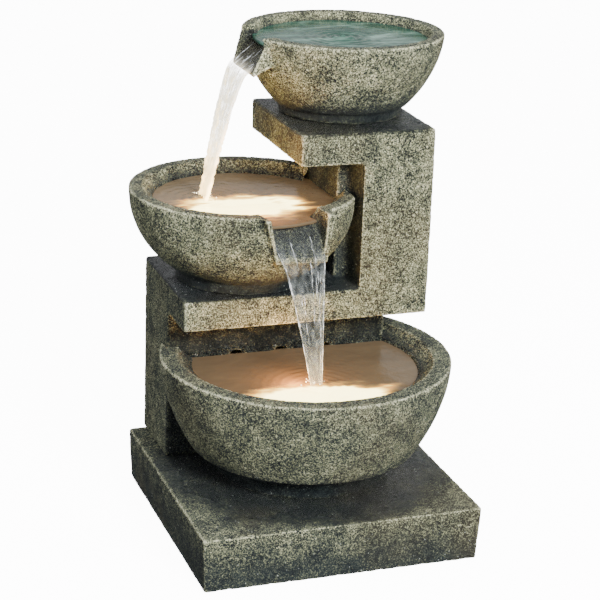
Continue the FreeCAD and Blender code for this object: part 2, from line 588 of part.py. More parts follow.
# ---- bowls and their foot rings
behind_housing = box(TOWER_LEFT, HOUSING_RIGHT, HOUSING_FRONT, 2 * TOWER_BACK, BASE_HEIGHT,
                     MIDDLE_SLAB_BOTTOM)
lower_bowl = bowl_shape(BOWLS["lower"]).cut(behind_housing)
lower_foot = foot_ring(BOWLS["lower"], BASE_HEIGHT).cut(behind_housing)
middle_bowl = bowl_shape(BOWLS["middle"], MIDDLE_SPOUT).cut(column_block)
bowl_front = BOWLS["middle"]["centre"][1] - BOWLS["middle"]["radius"]
middle_bowl = middle_bowl.cut(box(MIDDLE_BOWL_END, COLUMN_LEFT + OVERLAP, bowl_front, CORE_FRONT,
                                  MIDDLE_SLAB_TOP, UPPER_SLAB_BOTTOM))
middle_bowl = middle_bowl.cut(grommet)
middle_foot = foot_ring(BOWLS["middle"], MIDDLE_SLAB_TOP).cut(column_block)
stem_way = rod(STEM_RADIUS, inlet.z - top["bottom"], V(inlet.x, inlet.y, top["bottom"]))
top_bowl = bowl_shape(top, TOP_SPOUT).cut(stem_way)
save("lower_bowl", lower_bowl)
save("lower_foot_ring", lower_foot)
save("middle_bowl", middle_bowl)
save("middle_foot_ring", middle_foot)
save("top_bowl", top_bowl)
save("top_foot_ring", foot_ring(top, UPPER_SLAB_TOP))

# ---- pump: motor housing, volute, strainer with its flow dial, impeller on a fixed ceramic shaft
pump_axis = V(0, PUMP_Y, PUMP_AXIS_Z)


def pump_section(x0, x1):
    block = box(x0, x1, PUMP_Y - PUMP_HALF, PUMP_Y + PUMP_HALF, PUMP_BOTTOM, PUMP_TOP)
    return rounded(block, PUMP_ROUND, lambda p, t: abs(t.x) > 0.9)


def on_axis(radius, x0, x1):
    return rod(radius, x1 - x0, V(x0, PUMP_Y, PUMP_AXIS_Z), X)


motor = pump_section(*MOTOR_X).cut(on_axis(ROTOR_BORE, MOTOR_X[0], MOTOR_BORE_END))
motor = motor.cut(on_axis(SHAFT_RADIUS, MOTOR_BORE_END, SHAFT_X[1]))
volute = pump_section(*VOLUTE_X).cut(on_axis(CHAMBER_RADIUS, CHAMBER_START, VOLUTE_X[1]))
inlet_eye = on_axis(EYE_RADIUS, VOLUTE_X[0], CHAMBER_START)
bar_half_width, bar_half_thickness = SPIDER_BAR
spider = fuse([on_axis(SPIDER_HUB, SPIDER_START, CHAMBER_START),
               box(SPIDER_START, CHAMBER_START, PUMP_Y - bar_half_width, PUMP_Y + bar_half_width,
                   PUMP_AXIS_Z - bar_half_thickness, PUMP_AXIS_Z + bar_half_thickness)])
volute = fuse([volute.cut(inlet_eye), spider]).cut(on_axis(SHAFT_RADIUS, SHAFT_X[0], CHAMBER_START))
spigot = rod(HOSE_INNER, SPIGOT_LENGTH, V(OUTLET_X, PUMP_Y, PUMP_TOP - OVERLAP))
spigot_start = V(OUTLET_X, PUMP_Y, PUMP_AXIS_Z + BLADE_RADIUS)
spigot_bore = rod(SPIGOT_BORE, HOSE_LOW + SPIGOT_LENGTH - PUMP_AXIS_Z, spigot_start)
volute = fuse([volute, spigot]).cut(spigot_bore)
save("pump_motor_housing", motor)
save("pump_volute", volute)
save("impeller_shaft", on_axis(SHAFT_RADIUS, *SHAFT_X))

hub = fuse([on_axis(ROTOR_RADIUS, *ROTOR_X), on_axis(HUB_RADIUS, HUB_START, ROTOR_X[0])])
blades = []
for i in range(BLADE_COUNT):
    blade = box(*BLADE_X, PUMP_Y - BLADE_HALF, PUMP_Y + BLADE_HALF, PUMP_AXIS_Z + BLADE_ROOT,
                PUMP_AXIS_Z + BLADE_RADIUS)
    blade.rotate(pump_axis, X, i * 360.0 / BLADE_COUNT)
    blades.append(blade)
impeller = fuse([hub, *blades]).cut(on_axis(SHAFT_RADIUS + GAP, HUB_START, ROTOR_X[1]))
save("impeller", impeller)

strainer = pump_section(*STRAINER_X)
strainer_face = STRAINER_X[0]
strainer_inside = strainer_face + STRAINER_WALL
strainer_half = PUMP_HALF - STRAINER_WALL
strainer = strainer.cut(box(strainer_inside, STRAINER_X[1], PUMP_Y - strainer_half, PUMP_Y + strainer_half,
                            PUMP_AXIS_Z - strainer_half, PUMP_AXIS_Z + strainer_half))
for i in range(SLOT_COUNT):
    y = PUMP_Y + (i - (SLOT_COUNT - 1) / 2) * SLOT_PITCH
    if abs(y - PUMP_Y) > KNOB_RADIUS:
        slot = box(strainer_face, strainer_inside, y - SLOT_HALF, y + SLOT_HALF, PUMP_BOTTOM + SLOT_MARGIN,
                   PUMP_TOP - SLOT_MARGIN)
        strainer = strainer.cut(slot)
strainer = strainer.cut(on_axis(KNOB_STEM + GAP, strainer_face, strainer_inside))
save("pump_strainer", strainer)
knob_face = strainer_face - KNOB_THICKNESS
knob_back = strainer_face - KNOB_CLEARANCE
pointer_thickness, pointer_half_width, pointer_half_length = POINTER
dial = fuse([on_axis(KNOB_RADIUS, knob_face, knob_back),
             on_axis(KNOB_STEM, knob_back, strainer_face + KNOB_STEM_REACH)])
pointer = box(knob_face - pointer_thickness, knob_face, PUMP_Y - pointer_half_width,
              PUMP_Y + pointer_half_width, PUMP_AXIS_Z - pointer_half_length,
              PUMP_AXIS_Z + pointer_half_length)
save("flow_dial", fuse([dial, pointer]))

cups = []
from_volute, from_motor, from_side = CUP_INSET
cup_y = PUMP_HALF - from_side
for x in (VOLUTE_X[0] + from_volute, MOTOR_X[1] - from_motor):
    for y in (PUMP_Y - cup_y, PUMP_Y + cup_y):
        cone = Part.makeCone(CUP_RADIUS, CUP_NECK, CUP_HEIGHT - CUP_NECK_HEIGHT, V(x, y, WELL_FLOOR))
        cups.append(fuse([cone, rod(CUP_NECK, CUP_NECK_HEIGHT, V(x, y, PUMP_BOTTOM - CUP_NECK_HEIGHT))]))
save("suction_cups", Part.makeCompound(cups))
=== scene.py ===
import json
import math

import bmesh
import bpy
import numpy as np
from mathutils import Matrix, Vector
from mathutils.bvhtree import BVHTree


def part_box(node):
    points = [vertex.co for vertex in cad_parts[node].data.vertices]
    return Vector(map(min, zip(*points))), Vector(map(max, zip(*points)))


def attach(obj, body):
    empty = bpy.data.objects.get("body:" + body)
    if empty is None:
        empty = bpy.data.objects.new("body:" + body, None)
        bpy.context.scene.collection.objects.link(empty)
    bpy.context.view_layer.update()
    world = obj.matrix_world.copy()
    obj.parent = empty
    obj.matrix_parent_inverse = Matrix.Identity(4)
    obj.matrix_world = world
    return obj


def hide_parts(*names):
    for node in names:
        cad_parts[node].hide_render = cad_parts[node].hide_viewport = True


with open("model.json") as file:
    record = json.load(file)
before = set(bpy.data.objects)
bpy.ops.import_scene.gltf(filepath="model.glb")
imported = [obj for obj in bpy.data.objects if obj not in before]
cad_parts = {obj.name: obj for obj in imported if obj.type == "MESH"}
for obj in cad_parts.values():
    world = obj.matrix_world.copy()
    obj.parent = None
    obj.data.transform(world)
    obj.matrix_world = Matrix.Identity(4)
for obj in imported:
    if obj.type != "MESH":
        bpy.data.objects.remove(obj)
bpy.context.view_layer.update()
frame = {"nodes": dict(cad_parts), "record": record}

# Looks for the tiered water fountain. Metres, +Z up, the row frame. The castings are carried over from the
# CAD nodes, weathered and pitted; the water, its streams and the lamps' glow are made here.

nodes = frame["nodes"]

# ---- places, from the frame
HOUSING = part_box("pump_housing")
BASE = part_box("base_plinth")
MIDDLE_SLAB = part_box("middle_slab")
UPPER_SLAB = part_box("upper_slab")
TOWER_FACE = MIDDLE_SLAB[0].y
RECESS_FACE = HOUSING[0].y                # the housing's front, which closes the lower bowl
FOOT = {name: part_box(name + "_foot_ring") for name in ("lower", "middle", "top")}
BOWL = {name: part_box(name + "_bowl") for name in ("lower", "middle", "top")}
RIM = {name: BOWL[name][1].z for name in BOWL}


def foot_circle(name):
    low, high = FOOT[name]
    half = (high.x - low.x) / 2
    return Vector((low.x + half, low.y + half, high.z)), half


FOOT_CENTRE = {name: foot_circle(name)[0] for name in FOOT}
FOOT_RADIUS = {name: foot_circle(name)[1] for name in FOOT}

# ---- sizes
CORE_SIDE, CORE_FRONT = 0.0595, 0.046     # the column's rear part, which the middle bowl is built round
COLUMN_FACE = 0.0808                      # the left side of the column's front part
ON_FACE = 0.004                           # a point this near to a face is on it
POOL_RADIUS = {"lower": 0.1839, "middle": 0.1433, "top": 0.1274}
WATER_BELOW_RIM = {"lower": 0.021, "middle": 0.0185, "top": 0.0130}
LEVEL = {name: RIM[name] - WATER_BELOW_RIM[name] for name in RIM}
SPOUT_HEADING = {"top": 180.0, "middle": -80.0}
SPOUT_HALF_WIDTH = 0.060

# Spacing of the weathered castings' meshes
FINE_CELL, PLINTH_CELL, TOWER_CELL = 0.0023, 0.00255, 0.0028
PIT_SIZE, PIT_DEPTH = 0.0050, 0.0007
LUMP_SIZE, LUMP_DEPTH = 0.019, 0.0009
CHIP_SIZE, CHIP_DEPTH = 0.007, 0.0012
# How far a bowl's inner wall comes in, and the depths where it starts, is full, turns back and is back
WALL_LEAN = {"lower": 0.019, "middle": 0.014, "top": 0.005}
LEAN_START, LEAN_FULL, LEAN_LEFT, LEAN_GONE = 0.001, 0.021, 0.028, 0.045
WALL_NEAR, WALL_FAR = 0.006, 0.014        # points this near the wall lean fully, and this far not at all

# ---- noise, worked out for many points at once
AXIS_PRIMES = (73856093, 19349663, 83492791)
SEED_PRIME = 2654435761
MIXERS = ((13, 1274126177), (15, 2246822519))
LAST_SHIFT = 16
KEPT_BITS = 0xFFFFFF
ABOVE_ZERO = 1000.0                       # added to scaled places so that none is below zero


def lattice(cell, seed):
    """A repeatable random number from 0 to 1 for each whole-numbered cell."""
    n = np.uint64(seed * SEED_PRIME)
    for i, prime in enumerate(AXIS_PRIMES):
        n = n ^ (cell[..., i].astype(np.uint64) * np.uint64(prime))
    for shift, factor in MIXERS:
        n = (n ^ (n >> np.uint64(shift))) * np.uint64(factor)
    n = n ^ (n >> np.uint64(LAST_SHIFT))
    return (n & np.uint64(KEPT_BITS)).astype(float) / (KEPT_BITS + 1)


def soft_noise(points, size, seed):
    """Smooth noise from 0 to 1 with features about `size` across."""
    scaled = points / size + ABOVE_ZERO
    low = np.floor(scaled).astype(np.int64)
    part = scaled - low
    part = part * part * (3 - 2 * part)
    total = np.zeros(len(points))
    for corner in np.ndindex(2, 2, 2):
        weight = np.ones(len(points))
        for axis, step in enumerate(corner):
            weight *= part[:, axis] if step else 1 - part[:, axis]
        total += weight * lattice(low + np.array(corner), seed)
    return total


LAYER_FADE = 0.55                         # each finer layer of noise weighs this much of the one before


def layered_noise(points, size, seed, layers=3):
    total = np.zeros(len(points))
    weight_sum = 0.0
    for layer in range(layers):
        weight = LAYER_FADE**layer
        total += weight * soft_noise(points, size / 2**layer, seed + layer)
        weight_sum += weight
    return total / weight_sum


PIT_INSET, PIT_ROOM = 0.15, 0.7           # where in its cell a pit can be
PIT_NARROW, PIT_SPREAD = 0.35, 0.4        # its width in cells, at least, and how much more it can be
PIT_STEEPNESS = 1.6
CELLS_WITHOUT = 0.3                       # share of the cells that have no pit


def pits(points, size, seed):
    """1 at the bottom of a pit, 0 between pits; some cells have none."""
    scaled = points / size + ABOVE_ZERO
    low = np.floor(scaled).astype(np.int64)
    depth = np.zeros(len(points))
    for step in np.ndindex(3, 3, 3):
        cell = low + np.array(step) - 1
        spot = [cell[:, i] + PIT_INSET + PIT_ROOM * lattice(cell, seed + i) for i in range(3)]
        width = PIT_NARROW + PIT_SPREAD * lattice(cell, seed + 3)
        near = 1 - np.linalg.norm(scaled - np.stack(spot, axis=1), axis=1) / width
        present = lattice(cell, seed + 4) > CELLS_WITHOUT
        depth = np.maximum(depth, np.clip(near * PIT_STEEPNESS, 0, 1) * present)
    return depth * depth * (3 - 2 * depth)


def smooth_step(low, high, values):
    t = np.clip((values - low) / (high - low), 0, 1)
    return t * t * (3 - 2 * t)


# ---- meshes
def new_object(name, mesh, body, material):
    piece = bpy.data.objects.new(name, mesh)
    bpy.context.scene.collection.objects.link(piece)
    mesh.materials.clear()
    mesh.materials.append(material)
    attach(piece, body)
    return piece


def mesh_from(name, points, faces, smooth=True):
    mesh = bpy.data.meshes.new(name)
    mesh.from_pydata([tuple(p) for p in points], [], [tuple(f) for f in faces])
    mesh.validate()
    mesh.polygons.foreach_set("use_smooth", np.full(len(mesh.polygons), smooth))
    mesh.update()
    return mesh


def set_attribute(mesh, name, values):
    layer = mesh.attributes.new(name, "FLOAT", "POINT")
    layer.data.foreach_set("value", np.asarray(values, np.float32))


def coordinates(mesh):
    flat = np.empty(len(mesh.vertices) * 3, np.float32)
    mesh.vertices.foreach_get("co", flat)
    return flat.reshape(-1, 3).astype(float)


def normals(mesh):
    flat = np.empty(len(mesh.vertices) * 3, np.float32)
    mesh.vertex_normals.foreach_get("vector", flat)
    return flat.reshape(-1, 3).astype(float)


def edge_ends(mesh):
    flat = np.empty(len(mesh.edges) * 2, np.int32)
    mesh.edges.foreach_get("vertices", flat)
    return flat.reshape(-1, 2)


def neighbour_mean(values, ends, rounds=1):
    """Each vertex's value averaged with its neighbours', a number of times."""
    columns = values.reshape(len(values), -1)
    count = np.bincount(ends.ravel(), minlength=len(values)).astype(float)
    for _ in range(rounds):
        total = np.empty_like(columns)
        for i in range(columns.shape[1]):
            total[:, i] = np.bincount(ends[:, 0], columns[ends[:, 1], i], len(values))
            total[:, i] += np.bincount(ends[:, 1], columns[ends[:, 0], i], len(values))
        columns = 0.5 * columns + 0.5 * total / count[:, None]
    return columns.reshape(values.shape)


def welded_copy(node):
    """A CAD node's mesh with its split corners joined again."""
    mesh = nodes[node].data.copy()
    work = bmesh.new()
    work.from_mesh(mesh)
    bmesh.ops.remove_doubles(work, verts=work.verts, dist=1e-6)
    bmesh.ops.dissolve_degenerate(work, edges=work.edges, dist=1e-7)
    work.to_mesh(mesh)
    work.free()
    scratch = bpy.data.objects.new("scratch", mesh)
    bpy.context.scene.collection.objects.link(scratch)
    return scratch


def applied(scratch):
    """Replaces an object's mesh by what its modifiers make of it."""
    bpy.context.view_layer.update()
    made = bpy.data.meshes.new_from_object(scratch.evaluated_get(bpy.context.evaluated_depsgraph_get()))
    scratch.modifiers.clear()
    scratch.data = made
    return made


def union_of(names):
    whole = welded_copy(names[0])
    for name in names[1:]:
        other = welded_copy(name)
        union = whole.modifiers.new("union", "BOOLEAN")
        union.operation = "UNION"
        union.solver = "EXACT"
        union.object = other
        applied(whole)
        bpy.data.objects.remove(other)
    return whole


LOOK_FROM = 0.004                         # how far off the surface the sight lines start


def shut_in(mesh_points, mesh_normals, tree):
    """True for the points that see nothing outside along any axis: the inner faces of hollow castings."""
    axes = [Vector(a) for a in ((1, 0, 0), (-1, 0, 0), (0, 1, 0), (0, -1, 0), (0, 0, 1), (0, 0, -1))]
    found = np.zeros(len(mesh_points), bool)
    for i, (point, normal) in enumerate(zip(mesh_points, mesh_normals)):
        facing = Vector(normal)
        start = Vector(point) + facing * LOOK_FROM
        ordered = sorted(axes, key=lambda a: -a.dot(facing))
        found[i] = all(tree.ray_cast(start, a)[0] is not None for a in ordered)
    return found


WORN_FROM, WORN_FULL = 0.07, 0.17         # how far a worn edge bulges, in cells
HOLLOW_FROM, HOLLOW_FULL = 0.04, 0.22
CHIPS_FROM, CHIPS_FULL = 0.55, 0.75       # the range of noise that makes chips along the worn edges
THINNED_AWAY = 0.93                       # share of the shut-in faces that go
WORTH_THINNING = 0.05                     # share of shut-in points below which they are left alone


def wear(points, facing, ends, cell):
    """How worn an edge and how deep a hollow each point is on, from 0 to 1."""
    bulge = np.einsum("ij,ij->i", points - neighbour_mean(points, ends, 3), facing) / cell
    worn = neighbour_mean(smooth_step(WORN_FROM, WORN_FULL, bulge), ends, 1)
    hollow = neighbour_mean(smooth_step(HOLLOW_FROM, HOLLOW_FULL, -bulge), ends, 4)
    return np.clip(worn, 0, 1), np.clip(hollow, 0, 1)


def thinned(whole, inside):
    """Fewer faces where nothing can be seen."""
    group = whole.vertex_groups.new(name="inside")
    group.add([int(i) for i in np.flatnonzero(inside)], 1.0, "REPLACE")
    thin = whole.modifiers.new("thin", "DECIMATE")
    thin.vertex_group = "inside"
    thin.ratio = float(1 - THINNED_AWAY * inside.mean())
    return applied(whole)


def weathered(name, names, wetness_and_shade, dirt_and_shade, cell=FINE_CELL, seed=1, moved=None):
    """Castings as one worn, pitted stone piece. The wet and dirt functions give a value from 0 to 1 at each
    point; both also carry painted shade.
    """
    whole = union_of(names)
    tree = BVHTree.FromObject(whole, bpy.context.evaluated_depsgraph_get())
    remesh = whole.modifiers.new("remesh", "REMESH")
    remesh.mode = "VOXEL"
    remesh.voxel_size = cell
    mesh = applied(whole)
    ends = edge_ends(mesh)
    points = neighbour_mean(coordinates(mesh), ends, 1)
    if moved:
        points = points + moved(points)
    mesh.vertices.foreach_set("co", points.astype(np.float32).ravel())
    mesh.update()
    facing = normals(mesh)
    worn, hollow = wear(points, facing, ends, cell)
    pit = pits(points, PIT_SIZE, seed)
    lump = layered_noise(points, LUMP_SIZE, seed + 10)
    chips = smooth_step(CHIPS_FROM, CHIPS_FULL, layered_noise(points, CHIP_SIZE, seed + 20, 2)) * worn
    depth = PIT_DEPTH * pit * (1 - 0.5 * worn) + LUMP_DEPTH * (1 - lump) + CHIP_DEPTH * chips
    inside = shut_in(points, facing, tree)
    depth[inside] = 0
    mesh.vertices.foreach_set("co", (points - facing * depth[:, None]).astype(np.float32).ravel())
    set_attribute(mesh, "worn", worn)
    set_attribute(mesh, "sunk", np.clip(0.7 * pit + 0.5 * chips + 0.6 * hollow, 0, 1))
    set_attribute(mesh, "wet", wetness_and_shade(points, facing))
    set_attribute(mesh, "dirt_and_shade", dirt_and_shade(points, facing))
    if inside.mean() > WORTH_THINNING:
        mesh = thinned(whole, inside)
    mesh.polygons.foreach_set("use_smooth", np.full(len(mesh.polygons), True))
    mesh.update()
    made = mesh.copy()
    bpy.data.objects.remove(whole)
    piece = new_object(name, made, "fountain", stone)
    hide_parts(*names)
    return piece


# ---- materials
class Shader:
    """A material built from nodes: each method adds one and returns its output."""

    def __init__(self, name):
        self.material = bpy.data.materials.new(name)
        self.material.use_nodes = True
        self.tree = self.material.node_tree
        self.tree.nodes.clear()
        self.end = self.tree.nodes.new("ShaderNodeOutputMaterial")
        self.place = self.tree.nodes.new("ShaderNodeTexCoord").outputs["Object"]

    def put(self, socket, value):
        if isinstance(value, bpy.types.NodeSocket):
            self.tree.links.new(value, socket)
        else:
            socket.default_value = value

    def node(self, kind, inputs=None, **settings):
        made = self.tree.nodes.new(kind)
        for key, value in settings.items():
            setattr(made, key, value)
        for key, value in (inputs or {}).items():
            self.put(made.inputs[key], value)
        return made

    def stretched(self, scale):
        return self.node("ShaderNodeMapping", {"Vector": self.place, "Scale": scale}).outputs["Vector"]

    def noise(self, scale, detail=3.0, rough=0.5, twist=0.0, at=None):
        inputs = {"Vector": at or self.place, "Scale": scale}
        inputs.update({"Detail": detail, "Roughness": rough, "Distortion": twist})
        return self.node("ShaderNodeTexNoise", inputs).outputs["Fac"]

    def cells(self, scale, feature="F1", at=None):
        inputs = {"Vector": at or self.place, "Scale": scale}
        return self.node("ShaderNodeTexVoronoi", inputs, feature=feature).outputs["Distance"]

    def winding(self, scale, width):
        """Thin winding lines: 1 along them, 0 away from them."""
        away = self.maths("ABSOLUTE", self.maths("SUBTRACT", self.noise(scale, 2.5, 0.5, 0.9), 0.5))
        return self.remap(away, 0.0, width, 1.0, 0.0)

    def attribute(self, name):
        return self.node("ShaderNodeAttribute", attribute_name=name).outputs["Fac"]

    def remap(self, value, low, high, to_low=0.0, to_high=1.0):
        inputs = {"Value": value, "From Min": low, "From Max": high}
        inputs.update({"To Min": to_low, "To Max": to_high})
        return self.node("ShaderNodeMapRange", inputs, clamp=True).outputs["Result"]

    def maths(self, operation, a, b=0.0, clamp=False):
        made = self.node("ShaderNodeMath", operation=operation, use_clamp=clamp)
        self.put(made.inputs[0], a)
        self.put(made.inputs[1], b)
        return made.outputs[0]

    def weighted(self, *pairs):
        """The sum of value * weight over the pairs."""
        total = None
        for value, weight in pairs:
            part = self.maths("MULTIPLY", value, weight)
            total = part if total is None else self.maths("ADD", total, part)
        return total

    def ramp(self, value, stops):
        made = self.node("ShaderNodeValToRGB", {"Fac": value})
        band = made.color_ramp
        while len(band.elements) < len(stops):
            band.elements.new(0.5)
        for element, (position, colour) in zip(band.elements, stops):
            element.position = position
            element.color = (*colour, 1.0)
        return made.outputs["Color"]

    def mixed(self, factor, a, b, blend="MIX"):
        made = self.node("ShaderNodeMix", data_type="RGBA", blend_type=blend)
        self.put(made.inputs["Factor"], factor)
        self.put(made.inputs["A"], (*a, 1.0) if isinstance(a, tuple) else a)
        self.put(made.inputs["B"], (*b, 1.0) if isinstance(b, tuple) else b)
        return made.outputs["Result"]

    def bump(self, height, distance, strength=1.0):
        inputs = {"Height": height, "Distance": distance, "Strength": strength}
        return self.node("ShaderNodeBump", inputs).outputs["Normal"]

    def surface(self, colour, roughness, normal=None, **sockets):
        made = self.node("ShaderNodeBsdfPrincipled")
        self.put(made.inputs["Base Color"], (*colour, 1.0) if isinstance(colour, tuple) else colour)
        self.put(made.inputs["Roughness"], roughness)
        if normal is not None:
            self.put(made.inputs["Normal"], normal)
        for key, value in sockets.items():
            self.put(made.inputs[key.replace("_", " ")], value)
        self.tree.links.new(made.outputs["BSDF"], self.end.inputs["Surface"])
        return self.material


STONE_TONES = [(0.0, (0.005, 0.007, 0.008)), (0.20, (0.026, 0.034, 0.033)), (0.40, (0.098, 0.115, 0.086)),
               (0.62, (0.282, 0.304, 0.168)), (0.84, (0.71, 0.71, 0.41)), (1.0, (0.98, 0.95, 0.70))]
BLUE_DIRT_AND_SHADE = (0.018, 0.030, 0.035)
BROWN_STAIN = (0.17, 0.12, 0.05)
WET_AND_SHADE_DARK = (0.006, 0.010, 0.011)
GLINT_FLECK = (0.62, 0.66, 0.60)
STONE_RELIEF = 0.0034


def cast_stone():
    """Dark grey-green stone, rubbed with khaki and cream on its high spots and worn edges."""
    s = Shader("cast_stone_look")
    worn, sunk = s.attribute("worn"), s.attribute("sunk")
    wet, dirt_and_shade = s.attribute("wet"), s.attribute("dirt_and_shade")
    grain = s.noise(500.0, 4.0, 0.68, 0.5)
    fine = s.noise(1200.0, 2.0, 0.6)
    chisel = s.cells(330.0)
    patches = s.noise(24.0, 4.0, 0.60, 0.4)
    cloud = s.noise(6.0, 3.0, 0.5)
    broken = s.remap(s.noise(40.0, 2.0), 0.42, 0.56)
    wide_cracks = s.maths("MULTIPLY", s.winding(120.0, 0.062), broken)
    thin_cracks = s.winding(300.0, 0.085)
    height = s.weighted((grain, 0.60), (fine, 0.18), (chisel, 0.30), (wide_cracks, -0.60),
                        (thin_cracks, -0.30))
    contrast = s.remap(s.weighted((grain, 0.80), (fine, 0.20), (chisel, 0.08)), 0.445, 0.625)
    # The stone is darker where it is wet and where it is dirty; both values also carry painted shade: on
    # left-facing and downward faces, in recesses and under the bowls.
    rubbed = s.weighted((contrast, 0.86), (s.remap(patches, 0.35, 0.65), 0.22), (worn, 0.52), (sunk, -0.16),
                        (wide_cracks, -0.38), (thin_cracks, -0.26), (wet, -0.28), (dirt_and_shade, -0.26))
    bare = s.ramp(s.maths("ADD", rubbed, 0.030), STONE_TONES)
    # Tinted blue-grey where dirt and painted shade lie.
    dirtied_and_shaded = s.mixed(s.maths("MULTIPLY", dirt_and_shade, 0.55), bare, BLUE_DIRT_AND_SHADE)
    stained = s.mixed(s.maths("MULTIPLY", s.remap(cloud, 0.48, 0.72), 0.28), dirtied_and_shaded, BROWN_STAIN)
    # Darkened where wet, and by the painted shade under the bowls that the wet value carries.
    damp_and_shaded = s.mixed(s.maths("MULTIPLY", wet, 0.48), stained, WET_AND_SHADE_DARK)
    # Pale specks, most where the stone is darkened: painted glints.
    glint_specks = s.remap(s.cells(150.0), 0.10, 0.16, 1.0, 0.0)
    scattered_glints = s.maths("MULTIPLY", glint_specks, s.remap(s.noise(60.0, 2.0), 0.50, 0.62))
    glint_flecked = s.mixed(s.maths("MULTIPLY", scattered_glints, s.maths("ADD", dirt_and_shade, 0.12)), damp_and_shaded, GLINT_FLECK)
    roughness = s.maths("ADD", s.remap(wet, 0.2, 0.9, 0.74, 0.20), s.weighted((fine, 0.12)), clamp=True)
    return s.surface(glint_flecked, roughness, s.bump(height, STONE_RELIEF), Specular_IOR_Level=0.40)


stone = cast_stone()


def grained_plastic(name, colour, roughness=0.45, grain=900.0, spread=0.25):
    """Moulded plastic with a fine grain, faint scuffs and uneven sheen."""
    s = Shader(name)
    fine = s.noise(grain, 2.0, 0.6)
    scuff = s.remap(s.noise(55.0, 5.0, 0.65, 1.2), 0.52, 0.70)
    lighter = tuple(min(1.0, c * (1 + spread) + 0.02 * spread) for c in colour)
    darker = tuple(c * (1 - spread) for c in colour)
    base = s.ramp(s.noise(24.0, 3.0), [(0.3, darker), (0.7, lighter)])
    base = s.mixed(s.maths("MULTIPLY", scuff, 0.18), base, tuple(min(1.0, c + 0.12) for c in colour))
    rough = s.weighted((scuff, 0.18), (fine, 0.10))
    return s.surface(base, s.maths("ADD", rough, roughness), s.bump(fine, 0.0002, 0.5))


def turned_metal(name, colour, roughness=0.3):
    """Machined metal: fine tool lines, spots and a little dullness."""
    s = Shader(name)
    lines = s.noise(260.0, 4.0, 0.7, at=s.stretched((1.0, 1.0, 14.0)))
    spots = s.remap(s.noise(120.0, 3.0), 0.55, 0.72)
    base = s.mixed(s.maths("MULTIPLY", spots, 0.4), colour, tuple(c * 0.55 for c in colour))
    rough = s.maths("ADD", s.weighted((lines, 0.22), (spots, 0.25)), roughness - 0.1)
    return s.surface(base, rough, s.bump(lines, 0.00008, 0.5), Metallic=1.0)


def soft_rubber(name, colour):
    s = Shader(name)
    dust = s.remap(s.noise(70.0, 5.0, 0.65), 0.50, 0.72)
    base = s.mixed(s.maths("MULTIPLY", dust, 0.30), colour, (0.16, 0.15, 0.13))
    fine = s.noise(1100.0, 2.0)
    return s.surface(base, s.maths("ADD", s.weighted((dust, 0.15)), 0.62), s.bump(fine, 0.00015, 0.6))


def tinted_resin():
    """The rear door's moulded resin, tinted and textured like the stone around it."""
    s = Shader("door_resin_look")
    grain = s.noise(300.0, 3.0, 0.6, 0.6)
    patches = s.noise(18.0, 3.0)
    rubbed = s.weighted((s.remap(grain, 0.40, 0.66), 0.7), (patches, 0.4))
    base = s.ramp(rubbed, [(0.0, (0.010, 0.012, 0.011)), (0.45, (0.055, 0.055, 0.040)),
                           (1.0, (0.24, 0.21, 0.13))])
    return s.surface(base, s.maths("ADD", s.weighted((grain, 0.2)), 0.55), s.bump(grain, 0.0006, 0.7))


def clear_part(name, colour, roughness, glow=None, strength=0.0, alpha=0.45):
    s = Shader(name)
    haze = s.noise(90.0, 4.0)
    base = s.mixed(s.remap(haze, 0.4, 0.7, 0.0, 0.3), colour, tuple(c * 0.8 for c in colour))
    sockets = {"Alpha": alpha, "IOR": 1.49}
    if glow:
        sockets["Emission_Color"] = (*glow, 1.0)
        sockets["Emission_Strength"] = strength
    ridges = s.bump(haze, 0.0002, 0.4)
    return s.surface(base, s.maths("ADD", s.weighted((haze, 0.08)), roughness), ridges, **sockets)


LOOKS = {
    "door_resin": tinted_resin(),
    "panel_plastic": grained_plastic("panel_plastic_look", (0.030, 0.031, 0.032), 0.55),
    "pump_plastic": grained_plastic("pump_plastic_look", (0.018, 0.019, 0.021), 0.35),
    "impeller_plastic": grained_plastic("impeller_plastic_look", (0.050, 0.140, 0.340), 0.35),
    "shaft_ceramic": grained_plastic("shaft_ceramic_look", (0.78, 0.76, 0.70), 0.12, 1500.0, 0.06),
    "black_rubber": soft_rubber("black_rubber_look", (0.016, 0.016, 0.017)),
    "hose_vinyl": clear_part("hose_vinyl_look", (0.62, 0.68, 0.64), 0.22, alpha=0.7),
    "fitting_brass": turned_metal("fitting_brass_look", (0.60, 0.42, 0.17)),
    "stainless_steel": turned_metal("stainless_steel_look", (0.56, 0.56, 0.55), 0.32),
    "lamp_plastic": grained_plastic("lamp_plastic_look", (0.020, 0.020, 0.020), 0.42),
    "lamp_glass": clear_part("lamp_glass_look", (1.0, 0.86, 0.62), 0.08, (1.0, 0.66, 0.30), 9.0, 0.75),
    "cable_plastic": grained_plastic("cable_plastic_look", (0.016, 0.016, 0.017), 0.48, 1400.0),
}
for entry in frame["record"]["subparts"]:
    if entry["material_slot"] in LOOKS:
        mesh_slots = nodes[entry["node"]].material_slots
        for index in range(len(mesh_slots)):
            mesh_slots[index].material = LOOKS[entry["material_slot"]]


# ---- where the castings are wet, where dirt lies on them, and where shade is painted on them
def ring_distance(points, middle):
    return np.hypot(points[:, 0] - middle[0], points[:, 1] - middle[1])


def beside_foot(name, points, blotch, wet_to, dry_from):
    """1 beside a bowl's foot ring, 0 away from it; blotch is the uneven edge's size, depth and seed."""
    size, depth, seed = blotch
    away = ring_distance(points, FOOT_CENTRE[name]) - FOOT_RADIUS[name]
    return 1 - smooth_step(wet_to, dry_from, away + depth * (layered_noise(points, size, seed) - 0.5))


def base_wet(points, facing):
    near = beside_foot("lower", points, (0.05, 0.07, 51), 0.045, 0.115)
    return near * smooth_step(0.3, 0.8, facing[:, 2])


